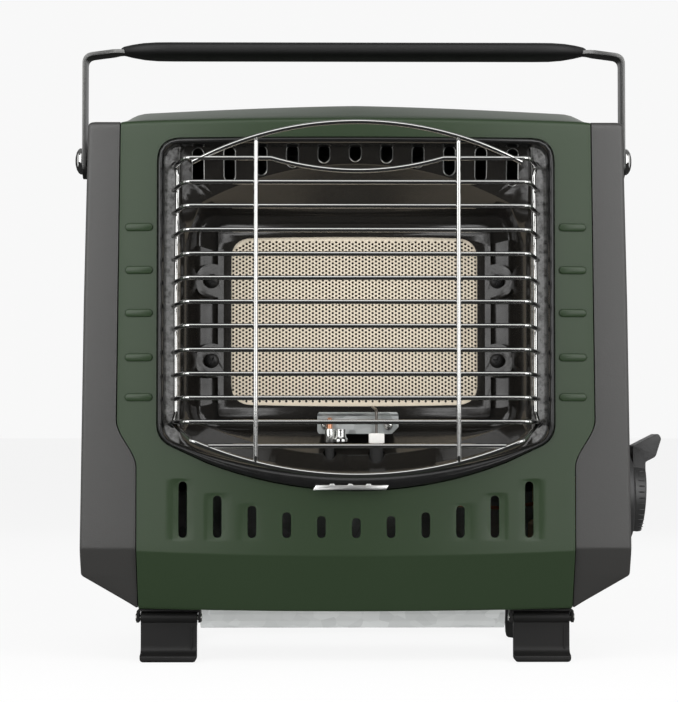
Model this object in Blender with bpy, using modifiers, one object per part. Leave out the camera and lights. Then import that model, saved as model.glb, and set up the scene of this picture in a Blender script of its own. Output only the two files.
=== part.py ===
"""Portable radiant gas heater for a camp or patio.

Lengths below are millimetres in the heater's own frame: X to the right, Y to the
back with 0 at the edge of the front panel, Z up with 0 on the ground. The meshes
are scaled to metres as they are made, and the "heater" empty then carries the
whole object so that its box is centred on the origin.
"""

from math import cos, pi, sin, sqrt, tan

import bmesh
import bpy
from mathutils import Matrix, Vector

MM = 0.001
GAP = 0.3
SHEET = 1.2
COVER_WALL = 2.5

# Casing
BODY_BACK = 187.5
PANEL_TOP = 271.5
PANEL_HALF = 119.0
CREST_TOP = 284.0
CREST_EDGE = 104.5
CROWN = 8.0
FOLD_Z = 57.0
BODY_BOTTOM = 27.3
COVER_OUTER_TOP = 134.5
COVER_OUTER_LOW = 138.0
JOG_HIGH = (120.0, 122.0)
JOG_LOW = (110.0, 98.5)

# Window, burner and guard
PLAQUE_Z = 173.5
PLAQUE_SIZE = (132.0, 13.0, 92.0)
PLAQUE_FRONT = 45.0
BURNER_SCREWS = [(side * 74.0, z) for side in (-1, 1) for z in (194.5, 153.0)]
ARCH_CENTRE = 88.0
ARCH_RADIUS = 165.0
BRACKET_Y = 25.0
ELECTRODE = (10.8, BRACKET_Y - 4.4)
THERMOCOUPLE = (-13.0, BRACKET_Y - 4.0)
BRACKET_SCREWS = [(-15.0, 119.5), (17.0, 119.5)]
GUARD_FRONT = -36.0
GUARD_TOP = 249.0
GUARD_PITCH = 11.64
GUARD_WIRE = 2.4
BAR_WIRE = 2.2
BAR_STEP = 2.0
GUARD_SIDE = 91.5
HOOK_HOLES = [(side * x, z) for side in (-1, 1) for x, z in ((91.0, 250.5), (91.7, 120.0))]

# Handle, knob, feet and door turn on these axes, each along X through (Y, Z)
HANDLE_AXIS = (60.0, 259.0)
KNOB_AXIS = (70.0, 81.5)
FOOT_AXIS = (22.0, 22.0)
DOOR_AXIS = (188.5, 119.0)
DOOR_KNUCKLE = 3.0
FOOT_X = 94.6
BOLT_REACH = 147.0
KNOB_REACH = 162.4
ARM_X = 142.0

# Cartridge bay and gas train
TRAY_HALF = 83.0
TRAY_FRONT = 100.0
TRAY_BACK = 176.0
TRAY_BOTTOM = 8.6
PAN_Z = 28.8
CARTRIDGE_AXIS = (138.0, 43.9)
MIXER_AXIS = (79.0, 150.0)
IGNITER_AXIS = (70.0, 112.0)

for old in list(bpy.data.objects):
    bpy.data.objects.remove(old, do_unlink=True)

PARTS = bpy.data.collections.new("gas_heater")
CUTTERS = bpy.data.collections.new("gas_heater_cutters")
for group in (PARTS, CUTTERS):
    bpy.context.scene.collection.children.link(group)

HEATER = bpy.data.objects.new("heater", None)
HEATER.location = (
    (BOLT_REACH - KNOB_REACH) / 2 * MM,
    -(DOOR_AXIS[0] + DOOR_KNUCKLE + GUARD_FRONT - BAR_STEP - BAR_WIRE / 2 * cos(pi / 6)) / 2 * MM,
    0.0,
)
PARTS.objects.link(HEATER)


# ---------------------------------------------------------------- finishes


def finish(name, colour, roughness, metallic=0.0):
    """A Principled material with one colour."""
    material = bpy.data.materials.new(name)
    material.use_nodes = True
    material.diffuse_color = (*colour, 1.0)
    shader = material.node_tree.nodes["Principled BSDF"]
    shader.inputs["Base Color"].default_value = (*colour, 1.0)
    shader.inputs["Roughness"].default_value = roughness
    shader.inputs["Metallic"].default_value = metallic
    return material


GREEN = finish("green_enamel", (0.080, 0.112, 0.062), 0.45)
BLACK_PLASTIC = finish("black_plastic", (0.055, 0.053, 0.051), 0.55)
TRIM = finish("black_trim", (0.012, 0.012, 0.013), 0.30)
BLACK_STEEL = finish("black_steel", (0.016, 0.016, 0.017), 0.50, 0.2)
BRIGHT_STEEL = finish("bright_steel", (0.62, 0.62, 0.60), 0.12, 1.0)
BLACK_ENAMEL = finish("black_enamel", (0.014, 0.013, 0.012), 0.14, 0.0)
CHROME = finish("chrome_wire", (0.72, 0.72, 0.72), 0.10, 1.0)
ZINC = finish("zinc_steel", (0.46, 0.48, 0.47), 0.38, 0.9)
PLAQUE = finish("burner_ceramic", (0.76, 0.69, 0.57), 0.90)
WHITE_CERAMIC = finish("white_ceramic", (0.85, 0.83, 0.78), 0.35)
BRASS = finish("brass", (0.62, 0.44, 0.17), 0.28, 1.0)
COPPER = finish("copper", (0.70, 0.34, 0.20), 0.30, 1.0)
RUBBER = finish("rubber", (0.020, 0.020, 0.020), 0.80)
FIBRE = finish("gasket_fibre", (0.60, 0.58, 0.54), 0.95)


# ---------------------------------------------------------------- outlines


def fillet(points, radius, steps=2, closed=True):
    """The corners of a line or loop rounded, with one radius or one for each corner."""
    points = [Vector(p) for p in points]
    count = len(points)
    radii = radius if isinstance(radius, (list, tuple)) else [radius] * count
    rounded = []
    for i, corner in enumerate(points):
        at_end = not closed and i in (0, count - 1)
        before = points[i - 1] - corner
        after = points[(i + 1) % count] - corner
        if at_end or radii[i] == 0:
            rounded.append(corner)
            continue
        turn = pi - before.angle(after)
        reach = min(radii[i] * tan(turn / 2), 0.48 * before.length, 0.48 * after.length)
        start = corner + before.normalized() * reach
        end = corner + after.normalized() * reach
        for k in range(steps + 1):
            t = k / steps
            rounded.append(start * (1 - t) ** 2 + corner * 2 * t * (1 - t) + end * t * t)
    return [tuple(p) for p in rounded]


def arc(centre, radius, start, end, steps):
    """Points of an arc from one angle to another, in radians."""
    angles = [start + (end - start) * k / steps for k in range(steps + 1)]
    return [(centre[0] + radius * cos(a), centre[1] + radius * sin(a)) for a in angles]


def ring(centre, radius, steps=16):
    """A full circle as a loop."""
    return arc(centre, radius, 0, 2 * pi * (steps - 1) / steps, steps - 1)


def stadium(start, end, width, steps=4):
    """A slot with round ends, from one end's centre to the other's."""
    start, end = Vector(start), Vector(end)
    heading = (end - start).to_2d().angle_signed(Vector((1, 0)))
    return arc(end, width / 2, heading - pi / 2, heading + pi / 2, steps) + arc(
        start, width / 2, heading + pi / 2, heading + 3 * pi / 2, steps
    )


def rectangle(x0, y0, x1, y1, radius=0.0, steps=2):
    """A rectangle, with round corners where a radius is given."""
    corners = [(x0, y0), (x1, y0), (x1, y1), (x0, y1)]
    return fillet(corners, radius, steps) if radius else corners


def band(path, thickness):
    """The outline of a strip of sheet that follows a path."""
    path = [Vector(p) for p in path]
    left, right = [], []
    for i, point in enumerate(path):
        into = (point - path[max(i - 1, 0)]).normalized()
        out = (path[min(i + 1, len(path) - 1)] - point).normalized()
        along = (into + out).normalized()
        stretch = 1 / max(along.dot(out if out.length else into), 0.5)
        side = Vector((-along.y, along.x)) * thickness / 2 * stretch
        left.append(tuple(point + side))
        right.append(tuple(point - side))
    return left + right[::-1]


def dome_outline(half, top, bottom, radius, corner, along=10):
    """Upright sides, a level top and a bottom that hangs in an arc."""
    centre = bottom + radius
    xs = [half * (2 * k / along - 1) for k in range(along + 1)]
    low = [(x, centre - sqrt(radius**2 - x**2)) for x in xs]
    high = [(-x, top) for x in xs]
    corners = [corner] + [0] * (along - 1) + [corner]
    return fillet(low + high, corners + corners, 4)


def window_outline(margin=0.0):
    """The outside of the bezel."""
    return dome_outline(99.0 + margin, 262.7 + margin, 87.3 - margin, 208.0, 12.0 + margin)


def ring_of_rays(loop, centre, count):
    """A loop sampled where evenly turned rays from a centre cross it."""
    centre = Vector(centre)
    found = []
    for k in range(count):
        turn = 2 * pi * k / count + 1e-4
        heading = Vector((cos(turn), sin(turn)))
        for i, first in enumerate(loop):
            a, b = Vector(first) - centre, Vector(loop[(i + 1) % len(loop)]) - centre
            across = (b - a).cross(heading)
            if abs(across) < 1e-9:
                continue
            share = -a.cross(heading) / across
            hit = a + (b - a) * share
            if 0 <= share < 1 and hit.dot(heading) > 0:
                found.append(centre + hit)
                break
    return found


def crown(x):
    """How far the front panel stands forward of its edges."""
    return -CROWN * max(0.0, 1 - (x / PANEL_HALF) ** 2)


def cover_seam(clearance=0.0):
    """The line between the front panel and the side cover, from the top down."""
    (high_x, high_z), (low_x, low_z) = JOG_HIGH, JOG_LOW
    jog = []
    for k in range(7):
        t = k / 6
        ease = t * t * (3 - 2 * t)
        jog.append((high_x + (low_x - high_x) * ease - clearance, high_z + (low_z - high_z) * t))
    return [(118.5 - clearance, 272.0)] + jog


# ---------------------------------------------------------------- solids


def place(name, mesh, material, pivot=None):
    """Scale a mesh from millimetres and put it in the model, on a pivot where it moves."""
    mesh.transform(Matrix.Scale(MM, 4))
    if pivot:
        mesh.transform(Matrix.Translation(-pivot.location))
    mesh.materials.clear()
    mesh.materials.append(material)
    mesh.shade_smooth()
    mesh.set_sharp_from_angle(angle=0.6)
    obj = bpy.data.objects.new(name, mesh)
    obj.parent = pivot or HEATER
    PARTS.objects.link(obj)
    return obj


def tool(obj):
    """Move an object among the cutters."""
    PARTS.objects.unlink(obj)
    CUTTERS.objects.link(obj)
    obj.hide_render = True
    obj.display_type = "WIRE"
    return obj


def combine(obj, other, operation):
    """Change an object with a Boolean; the other becomes a tool."""
    modifier = obj.modifiers.new(operation.lower(), "BOOLEAN")
    modifier.operation = operation
    modifier.solver = "EXACT"
    modifier.object = tool(other)
    return obj


def cut(obj, other):
    return combine(obj, other, "DIFFERENCE")


def join(obj, other):
    return combine(obj, other, "UNION")


def pivot_on(name, axis, x=0.0):
    """An empty on a joint's axis, for the pieces that turn on it."""
    empty = bpy.data.objects.new(name, None)
    empty.location = Vector((x, *axis)) * MM
    empty.parent = HEATER
    PARTS.objects.link(empty)
    return empty


def from_bmesh(name, mesh_data):
    mesh = bpy.data.meshes.new(name)
    mesh_data.to_mesh(mesh)
    mesh_data.free()
    return mesh


def from_curve(name, curve, turn=Matrix.Identity(4)):
    """A curve's surface as a welded mesh."""
    guide = bpy.data.objects.new(name + "_curve", curve)
    CUTTERS.objects.link(guide)
    guide.matrix_world = turn
    bpy.context.view_layer.update()
    graph = bpy.context.evaluated_depsgraph_get()
    mesh = bpy.data.meshes.new_from_object(guide.evaluated_get(graph))
    mesh.transform(guide.matrix_world)
    bpy.data.objects.remove(guide)
    work = bmesh.new()
    work.from_mesh(mesh)
    bmesh.ops.remove_doubles(work, verts=work.verts, dist=1e-4)
    bmesh.ops.recalc_face_normals(work, faces=work.faces)
    work.to_mesh(mesh)
    work.free()
    return mesh


EXTRUDED_ALONG = {
    "X": Matrix.Rotation(pi / 2, 4, "Z") @ Matrix.Rotation(pi / 2, 4, "X"),
    "Y": Matrix.Rotation(pi / 2, 4, "X"),
    "Z": Matrix.Identity(4),
}


def prism(name, loops, along, start, end, material, pivot=None, crowned=False):
    """Flat loops, the inner ones holes, extruded along an axis."""
    curve = bpy.data.curves.new(name, "CURVE")
    curve.dimensions = "2D"
    curve.fill_mode = "BOTH"
    curve.extrude = (end - start) / 2
    for loop in loops:
        spline = curve.splines.new("POLY")
        spline.points.add(len(loop) - 1)
        spline.use_cyclic_u = True
        for point, (u, v) in zip(spline.points, loop):
            point.co = (u, v, 0.0, 1.0)
    shift = Vector((0, 0, 0))
    shift["XYZ".index(along)] = (start + end) / 2
    mesh = from_curve(name, curve, Matrix.Translation(shift) @ EXTRUDED_ALONG[along])
    if crowned:
        middle = (start + end) / 2
        for vertex in mesh.vertices:
            if vertex.co.y < middle or crowned == "both":
                vertex.co.y += crown(vertex.co.x)
    return place(name, mesh, material, pivot)


def box(name, low, high, material, pivot=None, bevel=0.0):
    """A block between two corners, with its edges bevelled where asked."""
    work = bmesh.new()
    bmesh.ops.create_cube(work, size=1.0)
    low, high = Vector(low), Vector(high)
    bmesh.ops.scale(work, vec=high - low, verts=work.verts)
    bmesh.ops.translate(work, vec=(low + high) / 2, verts=work.verts)
    if bevel:
        bmesh.ops.bevel(work, geom=work.edges[:], offset=bevel, segments=1, profile=0.5, affect="EDGES")
    return place(name, from_bmesh(name, work), material, pivot)


TURNED_ALONG = {
    "X": Matrix.Rotation(pi / 2, 4, "Y"),
    "Y": Matrix.Rotation(-pi / 2, 4, "X"),
    "Z": Matrix.Identity(4),
}


def cylinder(name, along, centre, start, end, radius, material, pivot=None, sides=16, tip=None):
    """A rod along an axis, or a cone where the tip has its own radius."""
    work = bmesh.new()
    bmesh.ops.create_cone(
        work,
        cap_ends=True,
        segments=sides,
        radius1=radius,
        radius2=radius if tip is None else tip,
        depth=end - start,
    )
    middle = list(centre)
    middle.insert("XYZ".index(along), (start + end) / 2)
    mesh = from_bmesh(name, work)
    mesh.transform(Matrix.Translation(middle) @ TURNED_ALONG[along])
    return place(name, mesh, material, pivot)


def turned(name, profile, along, centre, material, pivot=None, steps=24):
    """A profile of (radius, position) points, outer side first from its far end, turned about an axis."""
    mesh = bpy.data.meshes.new(name)
    points = [(radius, 0.0, position) for radius, position in profile]
    hollow = profile[0][0] > 0 and profile[-1][0] > 0
    edges = [(i, i + 1) for i in range(len(points) - 1)]
    if hollow:
        edges.append((len(points) - 1, 0))
    mesh.from_pydata(points, edges, [])
    guide = bpy.data.objects.new(name + "_profile", mesh)
    CUTTERS.objects.link(guide)
    screw = guide.modifiers.new("turn", "SCREW")
    screw.axis = "Z"
    screw.steps = steps
    screw.render_steps = steps
    screw.use_merge_vertices = True
    screw.merge_threshold = 1e-4
    bpy.context.view_layer.update()
    graph = bpy.context.evaluated_depsgraph_get()
    solid = bpy.data.meshes.new_from_object(guide.evaluated_get(graph))
    bpy.data.objects.remove(guide)
    work = bmesh.new()
    work.from_mesh(solid)
    bmesh.ops.recalc_face_normals(work, faces=work.faces)
    work.to_mesh(solid)
    work.free()
    middle = list(centre)
    middle.insert("XYZ".index(along), 0.0)
    solid.transform(Matrix.Translation(middle) @ TURNED_ALONG[along])
    return place(name, solid, material, pivot)


def rod(name, path, diameter, material, pivot=None, bend=0.0):
    """A wire, lead or pipe along a path, with its bends rounded."""
    points = fillet(path, bend, 1, closed=False) if bend else path
    curve = bpy.data.curves.new(name, "CURVE")
    curve.dimensions = "3D"
    curve.bevel_depth = diameter / 2
    curve.bevel_resolution = 1
    curve.use_fill_caps = True
    spline = curve.splines.new("POLY")
    spline.points.add(len(points) - 1)
    for point, position in zip(spline.points, points):
        point.co = (*position, 1.0)
    return place(name, from_curve(name, curve), material, pivot)


def cylinder_y(name, centre, start, end, radius, material, sides=16):
    """A rod along Y at an (X, Z) place."""
    return prism(name, [ring(centre, radius, sides)], "Y", start, end, material)


def screw_y(name, centre, seat, head, shank, length, material):
    """A pan-head screw driven in along Y, its head in front of its seat."""
    profile = [
        (0.0, length),
        (shank, length - 0.6),
        (shank, 0.0),
        (head, 0.0),
        (head, -1.0),
        (head * 0.6, -2.2),
        (0.0, -2.4),
    ]
    moved = [(radius, position + seat) for radius, position in profile]
    screw = turned(name, moved, "Z", (0.0, 0.0), material, steps=14)
    screw.data.transform(Matrix.Rotation(-pi / 2, 4, "X"))
    screw.data.transform(Matrix.Translation(Vector((centre[0], 0.0, centre[1])) * MM))
    return screw


# ---------------------------------------------------------------- casing


def shell_profile(x):
    """The front shell's section at one X, from its bottom return over the top to the back lip."""
    bulge = max(0.0, 1 - (x / PANEL_HALF) ** 2)
    front = crown(x)
    low = BODY_BOTTOM - 1.2 * bulge
    top = PANEL_TOP + 0.9 * bulge
    if abs(x) <= CREST_EDGE:
        crest = CREST_TOP - 4.0 * (x / CREST_EDGE) ** 2
    else:
        drop = min(1.0, (abs(x) - CREST_EDGE) / 13.8)
        crest = 272.0 + 8.0 * sqrt(max(0.0, 1 - drop**2))
    corners = [
        (34 + front, low),
        (14 + front, low),
        (front, FOLD_Z - 2.5 * bulge),
        (front, top),
        (28, crest),
        (BODY_BACK - 10, crest),
        (BODY_BACK, crest - 10),
        (BODY_BACK, 250),
    ]
    return fillet(corners, [0, 3, 5, 3, 9, 0, 8, 0], 1, closed=False)


def front_panel_outline():
    """The edge that the side covers leave free, a little proud of the panel above and below."""
    right = [(118.5 - GAP, 300.0)] + cover_seam(GAP) + [(JOG_LOW[0] - GAP, 10.0)]
    return right + [(-x, z) for x, z in reversed(right)]


def front_vents():
    """The upright slots below the window, taller towards the sides."""
    pitch, width, foot = 17.25, 4.3, 63.5
    tops = [73.5, 74.5, 76.3, 79.5, 84.5, 91.5]
    slots = []
    for k in range(-5, 6):
        x = pitch * k
        slots.append(stadium((x, foot + width / 2), (x, tops[abs(k)] - width / 2), width, 2))
    return slots


def front_shell():
    across = 20
    section = len(shell_profile(0.0))
    work = bmesh.new()
    bmesh.ops.create_grid(work, x_segments=across, y_segments=section - 1, size=1.0)
    for vertex in work.verts:
        x = 121.0 * vertex.co.x
        row = round((vertex.co.y + 1) / 2 * (section - 1))
        y, z = shell_profile(x)[row]
        vertex.co = (x, y, z)
    shell = place("front_shell", from_bmesh("front_shell", work), GREEN)
    wall = shell.modifiers.new("sheet", "SOLIDIFY")
    wall.thickness = SHEET * MM
    wall.offset = -1.0
    edge = prism("shell_edge", [front_panel_outline()], "Y", -30, 220, GREEN)
    combine(shell, edge, "INTERSECT")
    cut(shell, prism("shell_window", [window_outline(GAP)], "Y", -30, 20, GREEN))
    cut(shell, prism("shell_vents", front_vents(), "Y", -30, 12, GREEN))
    top_vents = [stadium((20.0 * k, 62), (20.0 * k, 150), 5.0, 2) for k in range(-4, 5)]
    cut(shell, prism("top_vents", top_vents, "Z", 262, 300, GREEN))
    rib_x, rib_reach, rib_width = 108.5, 5.1, 4.0
    ribs = []
    for z in (218.5, 197.0, 175.5, 153.3, 133.4):
        for x in (-rib_x, rib_x):
            ribs.append(stadium((x - rib_reach, z), (x + rib_reach, z), rib_width, 2))
    join(shell, prism("shell_ribs", ribs, "Y", -1.1, 0.7, GREEN, crowned="both"))
    return shell


def side_silhouette(inset):
    """The side cover seen from the side, or the room inside it."""
    corners = [
        (14 + 0.7 * inset, 27.5 + inset),
        (inset, 58 + 0.2 * inset),
        (inset, 272 - inset),
        (BODY_BACK - inset, 272 - inset),
        (BODY_BACK - inset, 27.5 + inset),
    ]
    return fillet(corners, [4, 6, 5, 9, 9], 2)


def cover_front(side, inset):
    """The side cover seen from the front, down to the seam, or the room inside it with a plain inner side."""
    outer = [
        (110.5, 27.5 + inset),
        (137.0 - inset, 43.5 + 0.5 * inset),
        (COVER_OUTER_LOW - inset, 54.0),
        (136.4 - inset, 180.0),
        (COVER_OUTER_TOP - inset, 272.0 - inset),
    ]
    if inset:
        inner = [(90.0, 272.0 - inset), (90.0, 27.5 + inset)]
    else:
        inner = cover_seam() + [(JOG_LOW[0], 27.5)]
    return [(side * x, z) for x, z in outer + inner]


def side_cover(name, side):
    reach = sorted((side * 80.0, side * 160.0))
    cover = prism(name, [cover_front(side, 0.0)], "Y", -5, 200, BLACK_PLASTIC)
    silhouette = prism(name + "_profile", [side_silhouette(0.0)], "X", *reach, BLACK_PLASTIC)
    combine(cover, silhouette, "INTERSECT")
    room = prism(name + "_room", [cover_front(side, COVER_WALL)], "Y", -5, 200, BLACK_PLASTIC)
    inside = prism(name + "_inside", [side_silhouette(COVER_WALL)], "X", *reach, BLACK_PLASTIC)
    combine(room, inside, "INTERSECT")
    cut(cover, room)
    through = sorted((side * 125.0, side * 150.0))
    cut(cover, cylinder(name + "_bolt_hole", "X", HANDLE_AXIS, *through, 3.2, BLACK_PLASTIC, sides=12))
    if side > 0:
        cut(cover, cylinder(name + "_stem_hole", "X", KNOB_AXIS, *through, 6.0, BLACK_PLASTIC, sides=16))
    return cover


def rear_cover():
    """The back panel, with vents above and the opening for the cartridge door below."""
    right = [(118.5 - 0.5, 261.0)] + [(x, z) for x, z in cover_seam(0.5)[1:]] + [(JOG_LOW[0] - 0.5, 29.2)]
    outline = right + [(-x, z) for x, z in reversed(right)]
    doorway = rectangle(-90.0, 33.0, 90.0, 123.0, 3.0)
    vents = [stadium((17.0 * k, 180), (17.0 * k, 232), 5.0, 2) for k in range(-5, 6)]
    back = BODY_BACK - SHEET - GAP
    cover = prism("rear_cover", [outline, doorway] + vents, "Y", back - SHEET, back, ZINC)
    y, z = DOOR_AXIS
    for side in (-1, 1):
        ear = rectangle(back - 0.6, z - DOOR_KNUCKLE, y + DOOR_KNUCKLE, z + 7.0, 2.5)
        ear_ends = sorted((side * 61.0, side * 66.0))
        join(cover, prism(f"ear_{side}", [ear, ring((y, z), 1.9, 12)], "X", *ear_ends, ZINC))
    return cover


def cartridge_door():
    pivot = pivot_on("door_axis", DOOR_AXIS)
    y, z = DOOR_AXIS
    back = BODY_BACK - SHEET - GAP
    panel = rectangle(-89.0, 34.0, 89.0, z - 1.5, 3.0)
    relief = [rectangle(side * 63.5 - 3.5, z - 5.0, side * 63.5 + 3.5, z + 5.0) for side in (-1, 1)]
    door = prism("cartridge_door", [panel], "Y", back - SHEET, back, ZINC, pivot)
    cut(door, prism("door_relief", relief, "Y", back - 8, back + 8, ZINC, pivot))
    knuckle = prism("door_knuckle", [ring((y, z), DOOR_KNUCKLE, 14)], "X", -60.5, 60.5, ZINC, pivot)
    join(door, knuckle)
    cut(door, cylinder("door_bore", "X", DOOR_AXIS, -62, 62, 1.9, ZINC, pivot, sides=12))
    cylinder("door_hinge_pin", "X", DOOR_AXIS, -68, 68, 1.5, BRIGHT_STEEL, sides=12)
    pull = fillet([(back + GAP, 38), (back + 4.4, 38), (back + 4.4, 41), (back + GAP, 50)], 1.0, 2)
    prism("door_pull", [pull], "X", -17, 17, BLACK_PLASTIC, pivot)
    return door


def base_pan():
    """The bottom plate, open over the cartridge tray and notched for the regulator's collar."""
    outline = rectangle(-109.4, 17.0, 109.4, BODY_BACK - 4.0, 4.0)
    well = rectangle(-TRAY_HALF - 0.6, TRAY_FRONT - 0.6, TRAY_HALF + 0.6, TRAY_BACK + 0.6)
    return prism("base_pan", [outline, well], "Z", PAN_Z, PAN_Z + SHEET, ZINC)


def tray_section(inset):
    front, back, bottom = TRAY_FRONT + inset, TRAY_BACK - inset, TRAY_BOTTOM + inset
    corners = [(front, 60), (front, bottom), (back, bottom), (back, 60)]
    return fillet(corners, [0, 13.0 - inset, 13.0 - inset, 0], 5)


def cartridge_tray():
    """The well that the cartridge lies in, hung by its rim from the base pan."""
    rim = PAN_Z + SHEET + GAP
    tray = prism("cartridge_tray", [tray_section(0.0)], "X", -TRAY_HALF, TRAY_HALF, ZINC)
    cut(tray, box("tray_top", (-100, 80, rim + 0.8), (100, 200, 80), ZINC))
    flange = rectangle(-TRAY_HALF - 6, TRAY_FRONT - 6, TRAY_HALF + 6, TRAY_BACK + 6, 4.0)
    join(tray, prism("tray_flange", [flange], "Z", rim, rim + 0.8, ZINC))
    room = prism("tray_room", [tray_section(0.8)], "X", -TRAY_HALF + 0.8, TRAY_HALF - 0.8, ZINC)
    cut(tray, room)
    return tray


def cartridge_clip():
    """A leaf spring on the heat shield that presses the cartridge down into its tray."""
    bends = [(91.9, 118), (91.9, 100), (112, 84), (128, 80.5), (140, 84)]
    path = fillet(bends, [0, 4, 8, 8, 0], 3, closed=False)
    return prism("cartridge_clip", [band(path, 0.8)], "X", -12, 12, BRIGHT_STEEL)


# ---------------------------------------------------------------- burner


def window_bezel():
    inner = dome_outline(96.0, 259.8, 95.0, 265.0, 10.0)
    return prism("window_bezel", [window_outline(), inner], "Y", -3.0, 5.6, TRIM, crowned=True)


def bezel_tab():
    return box("bezel_tab", (-21.6, -12.9, 87.4), (16.0, -11.4, 89.8), BRIGHT_STEEL)


def arch_outline():
    """The edge between the reflector's vent band and its bowl."""
    top = arc((0, ARCH_CENTRE), ARCH_RADIUS, pi / 2 - 0.5, pi / 2 + 0.5, 12)
    half, low_edge, low_radius = 87.0, 104.0, 200.0
    low = [(x, low_edge + low_radius - sqrt(low_radius**2 - x * x)) for x in range(-72, 73, 18)]
    return top + [(-half, 215.0), (-half, 122.0)] + low + [(half, 122.0), (half, 215.0)]


def reflector():
    """A bright pan: flat flange, vent band, bowl and floor, drawn from one sheet."""
    sides = 44
    rings = [
        (6.0, dome_outline(101.0, 270.0, 84.0, 215.0, 14.0)),
        (6.0, dome_outline(88.6, 266.0, 93.0, 240.0, 14.0)),
        (14.0, dome_outline(87.8, 265.5, 97.0, 240.0, 14.0)),
        (20.0, arch_outline()),
        (46.0, rectangle(-81.5, 118.5, 81.5, 229.0, 12.0, 4)),
        (46.0, rectangle(-68.0, 125.5, 68.0, 221.5, 9.0, 4)),
    ]
    work = bmesh.new()
    rows = []
    for y, loop in rings:
        points = ring_of_rays(loop, (0.0, PLAQUE_Z), sides)
        rows.append([work.verts.new((p.x, y, p.y)) for p in points])
    for outer, inner in zip(rows, rows[1:]):
        for k in range(sides):
            n = (k + 1) % sides
            work.faces.new((outer[k], outer[n], inner[n], inner[k]))
    bmesh.ops.reverse_faces(work, faces=work.faces)
    bmesh.ops.triangulate(work, faces=work.faces)
    pan = place("reflector", from_bmesh("reflector", work), BLACK_ENAMEL)
    wall = pan.modifiers.new("sheet", "SOLIDIFY")
    wall.thickness = 0.8 * MM
    wall.offset = 1.0
    pitch, width = 16.0, 5.6
    slots = []
    for k in range(-5, 6):
        x = pitch * k
        arch = ARCH_CENTRE + sqrt(ARCH_RADIUS**2 - x * x)
        slots.append(stadium((x, arch + width * 0.75), (x, 259.4 - 0.09 * k * k), width, 2))
    cut(pan, prism("reflector_vents", slots, "Y", 9, 30, BLACK_ENAMEL))
    hooks = [ring(hole, 1.9, 8) for hole in HOOK_HOLES]
    cut(pan, prism("hook_holes", hooks, "Y", 0, 12, BRIGHT_STEEL))
    screws = [ring(hole, 2.4, 8) for hole in BURNER_SCREWS]
    cut(pan, prism("reflector_screw_holes", screws, "Y", 40, 50, BLACK_ENAMEL))
    pass_through = [ring(ELECTRODE, 4.2, 12), ring(THERMOCOUPLE, 3.4, 12)]
    cut(pan, prism("reflector_lead_holes", pass_through, "Z", 90, 114, BLACK_ENAMEL))
    return pan


def burner():
    """Frame, plaque, gasket and box, stacked from front to back, with four screws through them."""
    outer = rectangle(-79.5, 121.5, 79.5, 225.5, 9.0)
    opening = rectangle(-64.5, PLAQUE_Z - 44.5, 64.5, PLAQUE_Z + 44.5, 12.0, 4)
    holes = [ring(hole, 2.3, 8) for hole in BURNER_SCREWS]
    prism("burner_frame", [outer, opening] + holes, "Y", 43.4, 44.6, BLACK_STEEL)
    width, depth, height = PLAQUE_SIZE
    tile = rectangle(-width / 2, PLAQUE_Z - height / 2, width / 2, PLAQUE_Z + height / 2, 11.0, 3)
    prism("ceramic_plaque", [tile], "Y", PLAQUE_FRONT, PLAQUE_FRONT + depth, PLAQUE)
    gasket = [
        rectangle(-67.4, 126.1, 67.4, 220.9, 3.0),
        rectangle(-66.3, 127.2, 66.3, 219.8, 11.0, 3),
    ]
    prism("plaque_gasket", gasket, "Y", 49, 57, FIBRE)
    flange = rectangle(-79.0, 122.0, 79.0, 225.0, 6.0)
    room = rectangle(-67.7, 125.8, 67.7, 221.2, 3.0)
    walls = rectangle(-68.9, 124.6, 68.9, 222.4, 4.0)
    cup = prism("burner_box", [walls], "Y", 48.0, 70.0, ZINC)
    join(cup, prism("box_flange", [flange], "Y", 47.4, 48.6, ZINC))
    cut(cup, prism("box_room", [room], "Y", 40, 68.8, ZINC))
    cut(cup, prism("box_screw_holes", holes, "Y", 40, 52, ZINC))
    port = (-12.0, MIXER_AXIS[1])
    cut(cup, cylinder_y("box_port", port, 60, 80, 4.0, ZINC))
    for number, (x, z) in enumerate(BURNER_SCREWS, 1):
        screw_y(f"burner_screw_{number}", (x, z), 43.1, 3.7, 1.9, 9.0, BLACK_STEEL)


def ignition_parts():
    """The bracket under the plaque with its electrode and thermocouple."""
    plate = rectangle(-19.3, 115.0, 22.2, 125.2, 1.5)
    holes = [ring(hole, 1.9, 10) for hole in BRACKET_SCREWS]
    bracket = prism("electrode_bracket", [plate] + holes, "Y", BRACKET_Y, BRACKET_Y + 1.0, ZINC)
    shelf = rectangle(-17.0, BRACKET_Y + 0.4, 20.0, 43.0)
    join(bracket, prism("bracket_shelf", [shelf], "Z", 124.0, 125.0, ZINC))
    for number, centre in enumerate(BRACKET_SCREWS, 1):
        screw_y(f"bracket_screw_{number}", centre, BRACKET_Y - GAP, 2.6, 1.5, 5.0, BRIGHT_STEEL)
    sleeve = [(3.4, 115.5), (3.4, 98.0), (1.1, 98.0), (1.1, 115.5)]
    turned("electrode_insulator", sleeve, "Z", ELECTRODE, WHITE_CERAMIC, steps=16)
    tip = [(*ELECTRODE, 96.0), (*ELECTRODE, 129.0), (ELECTRODE[0] - 1.5, 41.0, 131.0)]
    rod("electrode_rod", tip, 1.4, BRIGHT_STEEL, bend=3.0)
    bulb = [(0.0, 123.5), (1.2, 123.0), (1.5, 117.8), (2.6, 117.0), (2.6, 100.0), (0.0, 100.0)]
    turned("thermocouple", bulb, "Z", THERMOCOUPLE, COPPER, steps=14)


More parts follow.
